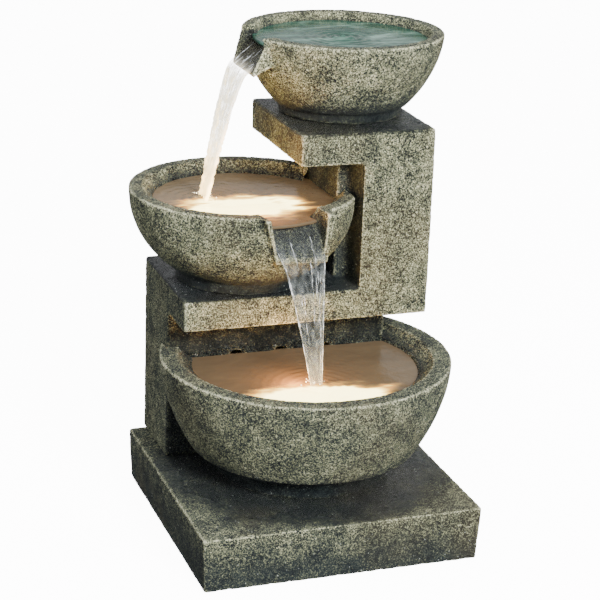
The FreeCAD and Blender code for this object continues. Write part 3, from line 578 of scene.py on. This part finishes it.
def base_dirt_and_shade(points, facing):
    """Most at the foot of the plinth's sides, darker towards the bottom, some on its top, and some on its
    left side, where it is painted shade.
    """
    top = BASE[1].z
    ragged = 0.03 * (layered_noise(points, 0.03, 61) - 0.5)
    low = 0.22 + 0.78 * (1 - smooth_step(0.05 * top, 1.05 * top, points[:, 2] + ragged))
    # The left-facing sides get painted shade.
    left = smooth_step(0.3, 0.9, -facing[:, 0]) * 0.30
    side = np.clip(low + left, 0, 1) * smooth_step(-0.6, 0.1, 0.5 - np.abs(facing[:, 2]))
    return np.maximum(side, 0.45 * smooth_step(0.4, 0.9, facing[:, 2]))


SPLASHED = 0.07                           # how far up the recess the lower bowl's water splashes
LEDGES = {"middle": MIDDLE_SLAB[1].z, "top": UPPER_SLAB[1].z}


def in_recess(points):
    return np.abs(points[:, 1] - RECESS_FACE) < ON_FACE


def tower_wet(points, facing):
    """The ledges beside the foot rings, and the wall behind the lower bowl."""
    wet = np.zeros(len(points))
    for name, ledge in LEDGES.items():
        near = beside_foot(name, points, (0.045, 0.060, 52), 0.030, 0.095)
        wet = np.maximum(wet, near * (np.abs(points[:, 2] - ledge) < ON_FACE))
    uneven = 0.03 * layered_noise(points, 0.045, 52)
    splash = 1 - smooth_step(0.0, SPLASHED, points[:, 2] - RIM["lower"] + uneven)
    return np.maximum(wet, 0.9 * splash * in_recess(points))


def tower_dirt_and_shade(points, facing):
    # Painted shade on left-facing and downward-facing faces, on the wall recessed behind the lower bowl and
    # in the niche beside the column; the tops are made darker too.
    left = smooth_step(0.5, 0.95, -facing[:, 0])
    under = smooth_step(0.4, 0.9, -facing[:, 2])
    over = smooth_step(0.4, 0.9, facing[:, 2])
    between = (points[:, 2] > MIDDLE_SLAB[1].z - 0.003) & (points[:, 2] < UPPER_SLAB[0].z + 0.003)
    niche_shade = between & (points[:, 0] < COLUMN_FACE + 0.002) & (points[:, 1] > TOWER_FACE + 0.002)
    faces = 0.34 * left + 0.5 * under + 0.35 * over
    return np.clip(faces + 0.45 * in_recess(points) + 0.95 * niche_shade, 0, 1)


def in_spout(name, points, facing):
    """The floor of a bowl's spout."""
    if name not in SPOUT_HEADING:
        return np.zeros(len(points))
    turn = math.radians(SPOUT_HEADING[name])
    x, y = points[:, 0] - FOOT_CENTRE[name].x, points[:, 1] - FOOT_CENTRE[name].y
    along = x * math.cos(turn) + y * math.sin(turn)
    across = np.abs(y * math.cos(turn) - x * math.sin(turn))
    bottom = smooth_step(0.006, 0.012, RIM[name] - points[:, 2]) * smooth_step(0.1, 0.4, facing[:, 2])
    return bottom * (along > 0.7 * POOL_RADIUS[name]) * (across < SPOUT_HALF_WIDTH)


def share_down(name, points):
    """0 at a bowl's rim, 1 at the bottom of its foot ring."""
    return (RIM[name] - points[:, 2]) / (RIM[name] - FOOT[name][0].z)


def bowl_wet_and_shade(name, underside_shade):
    def at(points, facing):
        drop = RIM[name] - points[:, 2]
        middle = FOOT_CENTRE[name]
        inward = -(facing[:, 0] * (points[:, 0] - middle.x) + facing[:, 1] * (points[:, 1] - middle.y))
        inner = smooth_step(0.0, 0.03, inward) * smooth_step(0.006, 0.018, drop)
        # The bowl's underside towards its foot ring: darkened with painted shade, and made glossy as if
        # wet.
        low = underside_shade * smooth_step(0.72, 0.93, share_down(name, points))
        return np.clip(inner + low + in_spout(name, points, facing), 0, 1)
    return at


def leaning_in(name):
    """Moves a bowl's inner wall in, so that it slopes down to the water; under the water it goes back."""
    def at(points):
        x, y = points[:, 0] - FOOT_CENTRE[name].x, points[:, 1] - FOOT_CENTRE[name].y
        away = np.hypot(x, y) + 1e-9
        drop = RIM[name] - points[:, 2]
        near = 1 - smooth_step(WALL_NEAR, WALL_FAR, np.abs(away - POOL_RADIUS[name]))
        reached = smooth_step(LEAN_START, LEAN_FULL, drop) * (1 - smooth_step(LEAN_LEFT, LEAN_GONE, drop))
        lean = WALL_LEAN[name] * near * reached
        return np.stack([-x / away * lean, -y / away * lean, np.zeros(len(points))], axis=1)
    return at


BOWL_DARKENING = {"lower": 0.24, "middle": 0.0, "top": 0.0}      # darker all over, only on the lower bowl
RIM_DIRT, RIM_DEPTH = 0.42, 0.006         # the rims' tops hold more dirt than the sides
# Painted shade low on each bowl, down to its foot ring
FOOT_SHADE = 0.75
CORNER_SHADE = 0.6                         # painted shade where the lower bowl meets the tower


def bowl_dirt_and_shade(name):
    def at(points, facing):
        # Painted shade low on the bowl and in the corner against the tower; dirt on the rim tops; the lower
        # bowl darker all over.
        foot = FOOT_SHADE * smooth_step(0.50, 0.95, share_down(name, points))
        upward = smooth_step(0.6, 0.95, facing[:, 2])
        rim = RIM_DIRT * upward * (points[:, 2] > RIM[name] - RIM_DEPTH)
        to_tower = np.abs(points[:, 1] - RECESS_FACE)
        corner = CORNER_SHADE * (1 - smooth_step(0.004, 0.030, to_tower)) * (name == "lower")
        return np.maximum.reduce([foot, rim, corner, np.full(len(points), BOWL_DARKENING[name])])
    return at


weathered("plinth_stone", ["base_plinth"], base_wet, base_dirt_and_shade, PLINTH_CELL, seed=3)
weathered("tower_stone", ["pump_housing", "middle_slab", "column", "upper_slab"], tower_wet, tower_dirt_and_shade,
          TOWER_CELL, seed=5)
for bowl, underside_shade, bowl_seed in (("lower", 1.0, 7), ("middle", 0.8, 9), ("top", 0.8, 11)):
    weathered(bowl + "_bowl_stone", [bowl + "_bowl", bowl + "_foot_ring"], bowl_wet_and_shade(bowl, underside_shade),
              bowl_dirt_and_shade(bowl), seed=bowl_seed, moved=leaning_in(bowl))

# ---- water
WATER_IOR = 1.33


def water_look(name, deep, lit, strength, unevenness):
    """Still water seen from above: its own colour, and painted light on it where the mesh says so: the
    lamp's light on the lit pools, a cool glow on the top one.
    """
    s = Shader(name)
    glow = s.attribute("glow")
    drift = s.noise(26.0, 4.0, 0.6, 0.8, at=s.stretched((0.55, 1.3, 1.0)))
    mottled = s.weighted((glow, 1.0), (s.maths("SUBTRACT", drift, 0.5), unevenness))
    colour = s.ramp(drift, [(0.30, deep), (0.70, tuple(c * 1.25 for c in deep))])
    light = s.ramp(mottled, lit)
    ripples = s.bump(s.noise(95.0, 3.0, 0.55, 0.5), 0.0012, 0.6)
    bright = s.maths("MULTIPLY", s.maths("POWER", mottled, 3.0, True), strength[1])
    power = s.maths("ADD", bright, strength[0])
    return s.surface(colour, 0.08, ripples, Emission_Color=light, Emission_Strength=power, IOR=WATER_IOR,
                     Specular_IOR_Level=0.20)


WARM_GLOW = [(0.0, (0.44, 0.30, 0.15)), (0.30, (0.76, 0.43, 0.13)), (0.55, (1.0, 0.45, 0.06)),
             (0.78, (1.0, 0.66, 0.15)), (1.0, (1.0, 0.86, 0.36))]
COOL_GLOW = [(0.30, (0.020, 0.10, 0.060)), (0.50, (0.09, 0.24, 0.17)), (0.70, (0.40, 0.62, 0.52))]
LAMP_LIT = water_look("lamp_lit_water", (0.100, 0.074, 0.045), WARM_GLOW, (0.09, 8.0), 0.22)
# The top pool's cool glow is painted light; no lamp lights it.
TOP_WATER = water_look("top_water", (0.011, 0.038, 0.027), COOL_GLOW, (0.09, 1.25), 1.15)

POOL_TURNS, POOL_RINGS = 220, 70
POOL_DEPTH = 0.004                        # the pools are thin closed sheets, this thick
WALL_OVERLAP = 0.004
SWELL_HEIGHT, SWELL_SIZE = 0.0009, 0.022
DIMPLE_HEIGHT, DIMPLE_SIZE = 0.0005, 0.007
RIPPLE_LENGTH, RIPPLE_FADE = 0.013, 0.035
MOUND_HEIGHT, MOUND_RADIUS = 1.4, 0.011   # where a fall lands; the height is in ripple heights


def water_heights(flat, ripple_spots):
    """How much swell, dimples and rings raise each point of a pool: a ripple spot is (place, height)."""
    height = SWELL_HEIGHT * (layered_noise(flat, SWELL_SIZE, 71) - 0.5)
    height += DIMPLE_HEIGHT * (layered_noise(flat, DIMPLE_SIZE, 75, 2) - 0.5)
    for spot, size in ripple_spots:
        away = ring_distance(flat, spot)
        height += size * np.cos(away * 2 * math.pi / RIPPLE_LENGTH) * np.exp(-away / RIPPLE_FADE)
        height += MOUND_HEIGHT * size * np.exp(-(away / MOUND_RADIUS) ** 2)
    return height


def pool(name, middle, level, reach_at, ripple_spots, glow_at, material):
    """A closed sheet of water: reach_at(angle) gives how far it runs out from its middle."""
    angles = np.linspace(0, 2 * math.pi, POOL_TURNS, endpoint=False)
    reach = np.array([reach_at(a) for a in angles])
    share = np.linspace(0, 1, POOL_RINGS)[1:]
    ring_x = middle[0] + np.outer(share, reach * np.cos(angles))
    ring_y = middle[1] + np.outer(share, reach * np.sin(angles))
    flat = np.stack([ring_x.ravel(), ring_y.ravel(), np.full(ring_x.size, level)], axis=1)
    flat = np.vstack([[middle[0], middle[1], level], flat])
    top = flat + np.array([0, 0, 1]) * water_heights(flat, ripple_spots)[:, None]
    bottom = flat - np.array([0, 0, POOL_DEPTH])
    count = len(flat)
    faces = []
    for i in range(POOL_TURNS):
        j = (i + 1) % POOL_TURNS
        faces.append((0, 1 + i, 1 + j))
        faces.append((count, count + 1 + j, count + 1 + i))
        for k in range(POOL_RINGS - 2):
            a, b = 1 + k * POOL_TURNS, 1 + (k + 1) * POOL_TURNS
            faces.append((a + i, b + i, b + j, a + j))
            faces.append((count + a + i, count + a + j, count + b + j, count + b + i))
        edge = 1 + (POOL_RINGS - 2) * POOL_TURNS
        faces.append((edge + i, count + edge + i, count + edge + j, edge + j))
    mesh = mesh_from(name, np.vstack([top, bottom]), faces)
    set_attribute(mesh, "glow", np.tile(glow_at(flat), 2))
    return new_object(name, mesh, "fountain", material)


GLOW_FULL, GLOW_GONE = 0.55, 1.30         # shares of the oval's size
GLOW_RAGGED, GLOW_SPILL = 0.75, 0.35
DRAWN_SIDEWAYS = np.array([0.6, 1.6, 1.0])


def oval_glow(middle, across, along):
    """Light that is full in the middle of an oval and fades out over its edge."""
    def at(points):
        away = np.hypot((points[:, 0] - middle[0]) / across, (points[:, 1] - middle[1]) / along)
        ragged = GLOW_RAGGED * (layered_noise(points * DRAWN_SIDEWAYS, 0.02, 81) - 0.5)
        full = 1 - smooth_step(GLOW_FULL, GLOW_GONE, away + ragged)
        return np.clip(full + GLOW_SPILL * np.exp(-away), 0, 1)
    return at


def stopped_by(name, wall_x, wall_y, box_side):
    """How far a round pool runs out before it meets its bowl or the tower standing in it."""
    middle = FOOT_CENTRE[name]
    limit = POOL_RADIUS[name] + WALL_OVERLAP

    def at(angle):
        dx, dy = math.cos(angle), math.sin(angle)
        if box_side == "behind" and dy > 0:
            run = (wall_y - middle[1]) / dy
            if middle[0] + run * dx < wall_x:
                return min(limit, run + WALL_OVERLAP)
        if box_side == "beside" and dx > 0:
            run = (wall_x - middle[0]) / dx
            if middle[1] + run * dy > wall_y:
                return min(limit, run + WALL_OVERLAP)
        return limit
    return at


REACH = {"lower": stopped_by("lower", HOUSING[1].x, RECESS_FACE, "behind"),
         "middle": stopped_by("middle", CORE_SIDE, CORE_FRONT, "beside"),
         "top": stopped_by("top", 0.0, 0.0, "")}
LANDING = {"middle": (-0.1245, 0.106), "lower": (-0.0015, -0.067)}
RINGS = {"lower": (LANDING["lower"], 0.0011), "middle": (LANDING["middle"], 0.0010),
         "top": (FOOT_CENTRE["top"][:2], 0.0016)}
GLOW = {"lower": oval_glow((-0.022, -0.112), 0.112, 0.052),
        "middle": oval_glow((-0.085, 0.044), 0.098, 0.060),
        "top": lambda points: np.full(len(points), 0.5)}

for bowl, water in (("lower", LAMP_LIT), ("middle", LAMP_LIT), ("top", TOP_WATER)):
    pool(bowl + "_water", FOOT_CENTRE[bowl], LEVEL[bowl], REACH[bowl], [RINGS[bowl]], GLOW[bowl], water)


# ---- the two falls: each is a list of rows, a row being the water's left and right edge, facing its spout
FALL_STEPS, FALL_COLUMNS = 170, 44
AIR_ROWS = 60
AIR_DRIFT = 0.5                           # share of the sideways travel that is even in time
LANDS_BELOW = 0.003


def on_spout(name, reach, across, drop):
    """A place given along and across a spout and below its bowl's rim."""
    turn = math.radians(SPOUT_HEADING[name])
    along = np.array([math.cos(turn), math.sin(turn), 0.0])
    side = np.array([-math.sin(turn), math.cos(turn), 0.0])
    middle = np.array([*FOOT_CENTRE[name][:2], RIM[name]])
    return middle + along * reach + side * across - np.array([0, 0, drop])


def across_spout(name, reach, left, right, drop, tilt=0.0):
    """A row of water across a spout; tilt is how much lower its right edge is."""
    return [on_spout(name, reach, left, drop), on_spout(name, reach, right, drop + tilt)]


def fall_rows(film, lip, landing, start_speed):
    """Rows down a spout's film, then through the air from its lip to the pool below."""
    rows = [np.array(row) for row in film]
    lip, landing = np.array(lip), np.array(landing)
    drop = lip[:, 2] - landing[:, 2]
    for t in np.linspace(0, 1, AIR_ROWS):
        share = start_speed * t + (1 - start_speed) * t * t
        row = lip.copy()
        row[:, :2] += (landing[:, :2] - lip[:, :2]) * (AIR_DRIFT * t + (1 - AIR_DRIFT) * share)
        row[:, 2] -= drop * share
        rows.append(row)
    return np.array(rows)


TOP_FILM = [across_spout("top", *row) for row in (
    (0.100, -0.046, 0.051, 0.0142), (0.112, -0.045, 0.052, 0.0148), (0.120, -0.043, 0.053, 0.0190),
    (0.140, -0.033, 0.055, 0.0325), (0.158, -0.025, 0.057, 0.0452))]
TOP_LIP = across_spout("top", 0.164, -0.021, 0.055, 0.0490)
MIDDLE_FILM = [across_spout("middle", *row, 0.004) for row in (
    (0.128, -0.042, 0.046, 0.0185), (0.140, -0.040, 0.047, 0.0200), (0.146, -0.036, 0.047, 0.0300),
    (0.153, -0.030, 0.048, 0.0450), (0.159, -0.026, 0.048, 0.0590))]
MIDDLE_LIP = across_spout("middle", 0.163, -0.023, 0.047, 0.0670, 0.003)
LANDS_AT = {name: LEVEL[name] - LANDS_BELOW for name in ("middle", "lower")}
TOP_LANDING = [(-0.1240, 0.124, LANDS_AT["middle"]), (-0.1250, 0.088, LANDS_AT["middle"])]
MIDDLE_LANDING = [(-0.0105, -0.0685, LANDS_AT["lower"]), (0.0070, -0.0655, LANDS_AT["lower"])]



def evened(rows):
    """The same rows, spaced evenly down the water."""
    middle = rows.mean(axis=1)
    run = np.concatenate([[0], np.cumsum(np.linalg.norm(np.diff(middle, axis=0), axis=1))])
    wanted = np.linspace(0, run[-1], FALL_STEPS)
    flat = rows.reshape(len(rows), -1)
    even = [np.interp(wanted, run, column) for column in flat.T]
    return np.stack(even, axis=1).reshape(-1, 2, 3), wanted


STREAK_ACROSS, STREAK_DOWN, STREAK_SIZE = 0.060, 0.04, 0.0042


def streaks(along, across, seed):
    """Noise drawn out down the water."""
    places = [across * STREAK_ACROSS, along * STREAK_DOWN, np.full(along.shape, 0.0)]
    points = np.stack(places, axis=-1).reshape(-1, 3)
    return layered_noise(points, STREAK_SIZE, seed, 3).reshape(along.shape)


def closed_sheet_faces(n, m):
    """Faces of two grids of n by m points, front then back, joined round their edges."""
    count = n * m
    faces = []
    for i in range(n - 1):
        for j in range(m - 1):
            a = i * m + j
            faces.append((a, a + m, a + m + 1, a + 1))
            faces.append((count + a, count + a + 1, count + a + m + 1, count + a + m))
        a, b = i * m, i * m + m - 1
        faces.append((a, count + a, count + a + m, a + m))
        faces.append((b, b + m, count + b + m, count + b))
    for j in range(m - 1):
        a, b = j, (n - 1) * m + j
        faces.append((a, a + 1, count + a + 1, count + a))
        faces.append((b, count + b, count + b + 1, b + 1))
    return faces


EDGE_WIDTH = 0.10                         # share of the width over which a fall is thicker along its edges
LEAST_THICK, STREAK_THICK, EDGE_THICK = 0.35, 0.75, 0.8
WAVE = 0.0035                             # how far a fall waves in and out
EDGE_STREAK = 0.12


def sheet(name, rows, thickness, seed, warm_from, loose, material):
    """Falling water as a thin closed sheet. Down its run it is lit from warm_from on, and loose says where
    it stops clinging to the spout."""
    rows, run = evened(rows)
    share = np.linspace(0, 1, FALL_COLUMNS)
    along, across = np.meshgrid(run, share, indexing="ij")
    middle = rows[:, :1] * (1 - share)[None, :, None] + rows[:, 1:] * share[None, :, None]
    down = np.gradient(middle, axis=0)
    side = np.gradient(middle, axis=1)
    out = np.cross(side, down)
    out /= np.linalg.norm(out, axis=2, keepdims=True)
    share_down = along / run[-1]
    to_edge = np.minimum(across, 1 - across)
    streak = streaks(share_down * 3.0, across, seed)
    swell = streaks(share_down * 8.0, across * 0.6, seed + 9)
    rim = np.exp(-((to_edge / EDGE_WIDTH) ** 2))
    tapered = np.minimum(1, to_edge * 30 + 0.15)
    thick = thickness * (LEAST_THICK + STREAK_THICK * streak + EDGE_THICK * rim) * tapered
    middle = middle + out * (WAVE * (swell - 0.5) * np.clip(share_down * 3 - 0.9, 0, 1))[..., None]
    front = middle + out * thick[..., None] / 2
    back = middle - out * thick[..., None] / 2
    points = np.vstack([front.reshape(-1, 3), back.reshape(-1, 3)])
    mesh = mesh_from(name, points, closed_sheet_faces(*along.shape))
    set_attribute(mesh, "streak", np.tile((streak + EDGE_STREAK * rim).ravel(), 2))
    set_attribute(mesh, "glow", np.tile(smooth_step(warm_from, 1.0, share_down).ravel(), 2))
    set_attribute(mesh, "loose", np.tile(smooth_step(*loose, share_down).ravel(), 2))
    return new_object(name, mesh, "fountain", material)


STRAND_SIDES = 6
OFF_AXIS = np.array([0.31, 0.95, 0.05])   # any direction that no strand follows


def tube(path, radii):
    """Points and faces of a closed round strand."""
    sides = STRAND_SIDES
    down = np.gradient(path, axis=0)
    down /= np.linalg.norm(down, axis=1, keepdims=True)
    side = np.cross(down, OFF_AXIS)
    side /= np.linalg.norm(side, axis=1, keepdims=True)
    other = np.cross(down, side)
    turns = np.linspace(0, 2 * math.pi, sides, endpoint=False)
    across, along = np.cos(turns)[None, :, None], np.sin(turns)[None, :, None]
    loop = side[:, None] * across + other[:, None] * along
    points = (path[:, None] + loop * radii[:, None, None]).reshape(-1, 3)
    faces = []
    for i in range(len(path) - 1):
        for j in range(sides):
            k = (j + 1) % sides
            faces.append((i * sides + j, i * sides + k, (i + 1) * sides + k, (i + 1) * sides + j))
    faces.append(tuple(reversed(range(sides))))
    faces.append(tuple(range((len(path) - 1) * sides, len(path) * sides)))
    return points, faces


WANDER = 0.006
LEAST_RADIUS = 0.00012
TAPER_STEPS = 7.0


def strands(name, rows, places, seed, warm_from, size, material):
    """Bright threads of water: places gives (across, start, end, thickness) for each."""
    rows, run = evened(rows)
    chance = np.random.default_rng(seed)
    all_points, all_faces, warm = [], [], []
    for across, start, end, thick in places:
        steps = np.arange(int(start * FALL_STEPS), int(end * FALL_STEPS))
        wander = np.cumsum(chance.normal(0, WANDER, len(steps)))
        wander -= np.linspace(0, wander[-1], len(steps))
        at = np.clip(across + wander, 0.01, 0.99)[:, None]
        path = rows[steps, 0] * (1 - at) + rows[steps, 1] * at
        place = np.arange(len(steps))
        beaded = 0.55 + 0.45 * np.sin(place * chance.uniform(0.2, 0.5) + chance.uniform(0, 6))
        taper = np.clip(np.minimum(place, place[::-1]) / TAPER_STEPS, 0.12, 1)
        points, faces = tube(path, size * thick * beaded * taper + LEAST_RADIUS)
        offset = sum(len(p) for p in all_points)
        all_faces += [tuple(offset + v for v in face) for face in faces]
        all_points.append(points)
        warm.append(np.repeat(smooth_step(warm_from, 1.0, run[steps] / run[-1]), STRAND_SIDES))
    mesh = mesh_from(name, np.vstack(all_points), all_faces)
    set_attribute(mesh, "glow", np.concatenate(warm))
    return new_object(name, mesh, "fountain", material)


def drops(name, spots, warm, material):
    """Loose drops: spots gives (x, y, z, radius)."""
    work = bmesh.new()
    for x, y, z, radius in spots:
        spot = Matrix.Translation((x, y, z))
        bmesh.ops.create_icosphere(work, subdivisions=2, radius=radius, matrix=spot)
    mesh = bpy.data.meshes.new(name)
    work.to_mesh(mesh)
    work.free()
    mesh.polygons.foreach_set("use_smooth", np.full(len(mesh.polygons), True))
    set_attribute(mesh, "glow", np.full(len(mesh.vertices), warm))
    return new_object(name, mesh, "fountain", material)


LIT_FALL, LIT_THREAD = (1.0, 0.70, 0.27), (1.0, 0.74, 0.34)
PALE_GLINT = (0.86, 0.92, 1.0)


def falling_look(name, clear, thick, pale, power, bottom):
    """Falling water: clear and thick are its alpha between and on its streaks, pale their colour, and power
    and bottom their light and the lamps' light at its foot."""
    s = Shader(name)
    streak, glow, loose = s.attribute("streak"), s.attribute("glow"), s.attribute("loose")
    body = s.maths("MULTIPLY", s.remap(streak, 0.38, 0.70), loose)
    tint = s.mixed(glow, pale, LIT_FALL)
    colour = s.mixed(body, tuple(c * 0.70 for c in pale), pale)
    lift = s.weighted((body, power), (glow, bottom), (loose, 0.25 * power))
    ripples = s.bump(s.noise(160.0, 3.0, at=s.stretched((1.0, 1.0, 0.25))), 0.0010, 0.7)
    veil = s.weighted((body, thick - clear), (glow, 0.14), (loose, clear))
    alpha = s.maths("ADD", veil, 0.03, clamp=True)
    return s.surface(colour, 0.10, ripples, Emission_Color=tint, Emission_Strength=lift, Alpha=alpha,
                     IOR=WATER_IOR)


# Threads and drops of water whose brightness is painted light: glints along the falls, and lower down the
# lamps' light.
def glinting_thread_look():
    s = Shader("glinting_water")
    glow = s.attribute("glow")
    glint_flicker = s.remap(s.noise(120.0, 2.0), 0.42, 0.62)
    tint = s.mixed(glow, PALE_GLINT, LIT_THREAD)
    lift = s.weighted((glint_flicker, 0.9), (glow, 3.0))
    alpha = s.maths("ADD", s.weighted((glint_flicker, 0.60), (glow, 0.2)), 0.16, clamp=True)
    return s.surface((0.90, 0.93, 0.95), 0.12, None, Emission_Color=tint, Emission_Strength=lift,
                     Alpha=alpha, IOR=WATER_IOR)


GLINT_THREAD = glinting_thread_look()
CREAM_FALL = falling_look("upper_fall_look", 0.42, 0.96, (1.0, 0.92, 0.72), 1.5, 2.8)
CLEAR_FALL = falling_look("lower_fall_look", 0.0, 0.10, (0.46, 0.50, 0.50), 0.13, 1.1)

top_rows = fall_rows(TOP_FILM, TOP_LIP, TOP_LANDING, 0.20)
middle_rows = fall_rows(MIDDLE_FILM, MIDDLE_LIP, MIDDLE_LANDING, 0.40)
sheet("upper_fall", top_rows, 0.0042, 91, 0.45, (0.20, 0.34), CREAM_FALL)
sheet("lower_fall", middle_rows, 0.0030, 95, 0.62, (0.10, 0.30), CLEAR_FALL)


def thread_places(count, seed, centres, spread, lengths):
    """Where threads run, gathered round some centres across the fall."""
    chance = np.random.default_rng(seed)
    made = []
    for i in range(count):
        across = float(np.clip(chance.normal(centres[i % len(centres)], spread), 0.02, 0.98))
        start = chance.uniform(0.10, 0.62)
        end = min(0.995, start + chance.uniform(*lengths))
        made.append((across, start, end, chance.uniform(0.5, 1.3)))
    return made


THREAD_RADIUS = 0.0006
UPPER_THREADS = thread_places(16, 21, (0.1, 0.35, 0.6, 0.92), 0.06, (0.10, 0.36))
LOWER_THREADS = thread_places(26, 31, (0.03, 0.32, 0.60, 0.80, 0.95), 0.05, (0.04, 0.17))
# Three long ones, two of them along the fall's edges
LOWER_THREADS += [(0.02, 0.22, 0.99, 0.7), (0.985, 0.20, 0.99, 0.8), (0.88, 0.34, 0.90, 0.5)]
strands("upper_threads", top_rows, UPPER_THREADS, 22, 0.5, THREAD_RADIUS, GLINT_THREAD)
strands("lower_threads", middle_rows, LOWER_THREADS, 32, 0.78, THREAD_RADIUS, GLINT_THREAD)

SPLASH_NEAR, SPLASH_FAR, SPLASH_HIGH = 0.004, 0.024, 0.012
DROP_LEAST, DROP_MOST = 0.0004, 0.0010


def splash(name, spot, level, count, seed):
    chance = np.random.default_rng(seed)
    spots = []
    for _ in range(count):
        turn, away = chance.uniform(0, 2 * math.pi), chance.uniform(SPLASH_NEAR, SPLASH_FAR)
        height = level + chance.uniform(0.0, SPLASH_HIGH) * (1 - away / 0.03)
        x, y = spot[0] + away * math.cos(turn), spot[1] + away * math.sin(turn)
        spots.append((x, y, height, chance.uniform(DROP_LEAST, DROP_MOST)))
    return drops(name, spots, 0.9, GLINT_THREAD)


for bowl, count, splash_seed in (("middle", 16, 41), ("lower", 18, 43)):
    splash(bowl + "_splash", LANDING[bowl], LEVEL[bowl], count, splash_seed)

# ---- stage, light and camera
FLOOR_SIZE = 40.0


def ground(name, height, material):
    corners = [(-FLOOR_SIZE, -FLOOR_SIZE, height), (FLOOR_SIZE, -FLOOR_SIZE, height),
               (FLOOR_SIZE, FLOOR_SIZE, height), (-FLOOR_SIZE, FLOOR_SIZE, height)]
    made = bpy.data.objects.new(name, mesh_from(name, corners, [(0, 1, 2, 3)], False))
    bpy.context.scene.collection.objects.link(made)
    made.data.materials.append(material)
    return made


# The floor that is seen is bright paper; the one the light bounces off is a duller grey
paper = Shader("floor_look").surface((0.90, 0.90, 0.90), 0.9, None, Emission_Color=(1.0, 1.0, 1.0, 1.0),
                                     Emission_Strength=12.0)
floor = ground("floor", 0.0, paper)
floor.visible_diffuse = False
floor.visible_glossy = False
floor.visible_transmission = False
bounce = ground("bounce_floor", -0.001, Shader("bounce_look").surface((0.34, 0.34, 0.33), 0.9))
bounce.visible_camera = False

world = bpy.data.worlds.new("studio")
bpy.context.scene.world = world
world.use_nodes = True
sky = world.node_tree.nodes["Background"]
sky.inputs["Color"].default_value = (0.96, 0.98, 1.0, 1.0)
sky.inputs["Strength"].default_value = 0.85


def soft_light(name, place, aim, size, power):
    data = bpy.data.lights.new(name, "AREA")
    data.shape = "DISK"
    data.size = size
    data.energy = power
    lamp = bpy.data.objects.new(name, data)
    lamp.location = place
    lamp.rotation_euler = (Vector(aim) - Vector(place)).to_track_quat("-Z", "Y").to_euler()
    bpy.context.scene.collection.objects.link(lamp)


LAMP_COLOUR = (1.0, 0.42, 0.12)
LAMP_RADIUS = 0.03


def lamp_glow(name, place, power):
    """The sunken lamps' warm light on the stone around them."""
    data = bpy.data.lights.new(name, "POINT")
    data.energy = power
    data.color = LAMP_COLOUR
    data.shadow_soft_size = LAMP_RADIUS
    lamp = bpy.data.objects.new(name, data)
    lamp.location = place
    lamp.visible_camera = False
    lamp.visible_glossy = False
    bpy.context.scene.collection.objects.link(lamp)


soft_light("key", (0.45, -3.0, 1.9), (0.0, 0.0, 0.35), 0.9, 225.0)
soft_light("top", (-0.4, 0.2, 2.8), (0.0, 0.0, 0.3), 1.6, 26.0)
lamp_glow("middle_lamp_glow", (-0.085, 0.000, LEVEL["middle"] + 0.03), 1.1)
lamp_glow("lower_lamp_glow", (-0.030, -0.056, LEVEL["lower"] + 0.016), 1.3)

# The view: azimuth turns about +Z from looking along +Y, and roll tips the picture
VIEW_AZIMUTH = math.radians(19.9)
VIEW_ELEVATION = math.radians(19.22)
VIEW_ROLL = math.radians(2.15)
VIEW_DISTANCE = 2.75
VIEW_AIM = Vector((-0.0169, -0.0255, 0.3525))
LENS = 115.6
SENSOR = 36.0

camera = bpy.data.objects.new("camera", bpy.data.cameras.new("camera"))
bpy.context.scene.collection.objects.link(camera)
camera.data.lens = LENS
camera.data.sensor_width = SENSOR
camera.data.clip_end = 100.0
forward = Vector((math.sin(VIEW_AZIMUTH) * math.cos(VIEW_ELEVATION),
                  math.cos(VIEW_AZIMUTH) * math.cos(VIEW_ELEVATION), -math.sin(VIEW_ELEVATION)))
flat = forward.cross(Vector((0, 0, 1))).normalized()
right = flat * math.cos(VIEW_ROLL) + flat.cross(forward) * math.sin(VIEW_ROLL)
up = right.cross(forward)
stand = VIEW_AIM - forward * VIEW_DISTANCE
rows = [[right[i], up[i], -forward[i], stand[i]] for i in range(3)]
camera.matrix_world = Matrix(rows + [[0, 0, 0, 1]])
bpy.context.scene.camera = camera
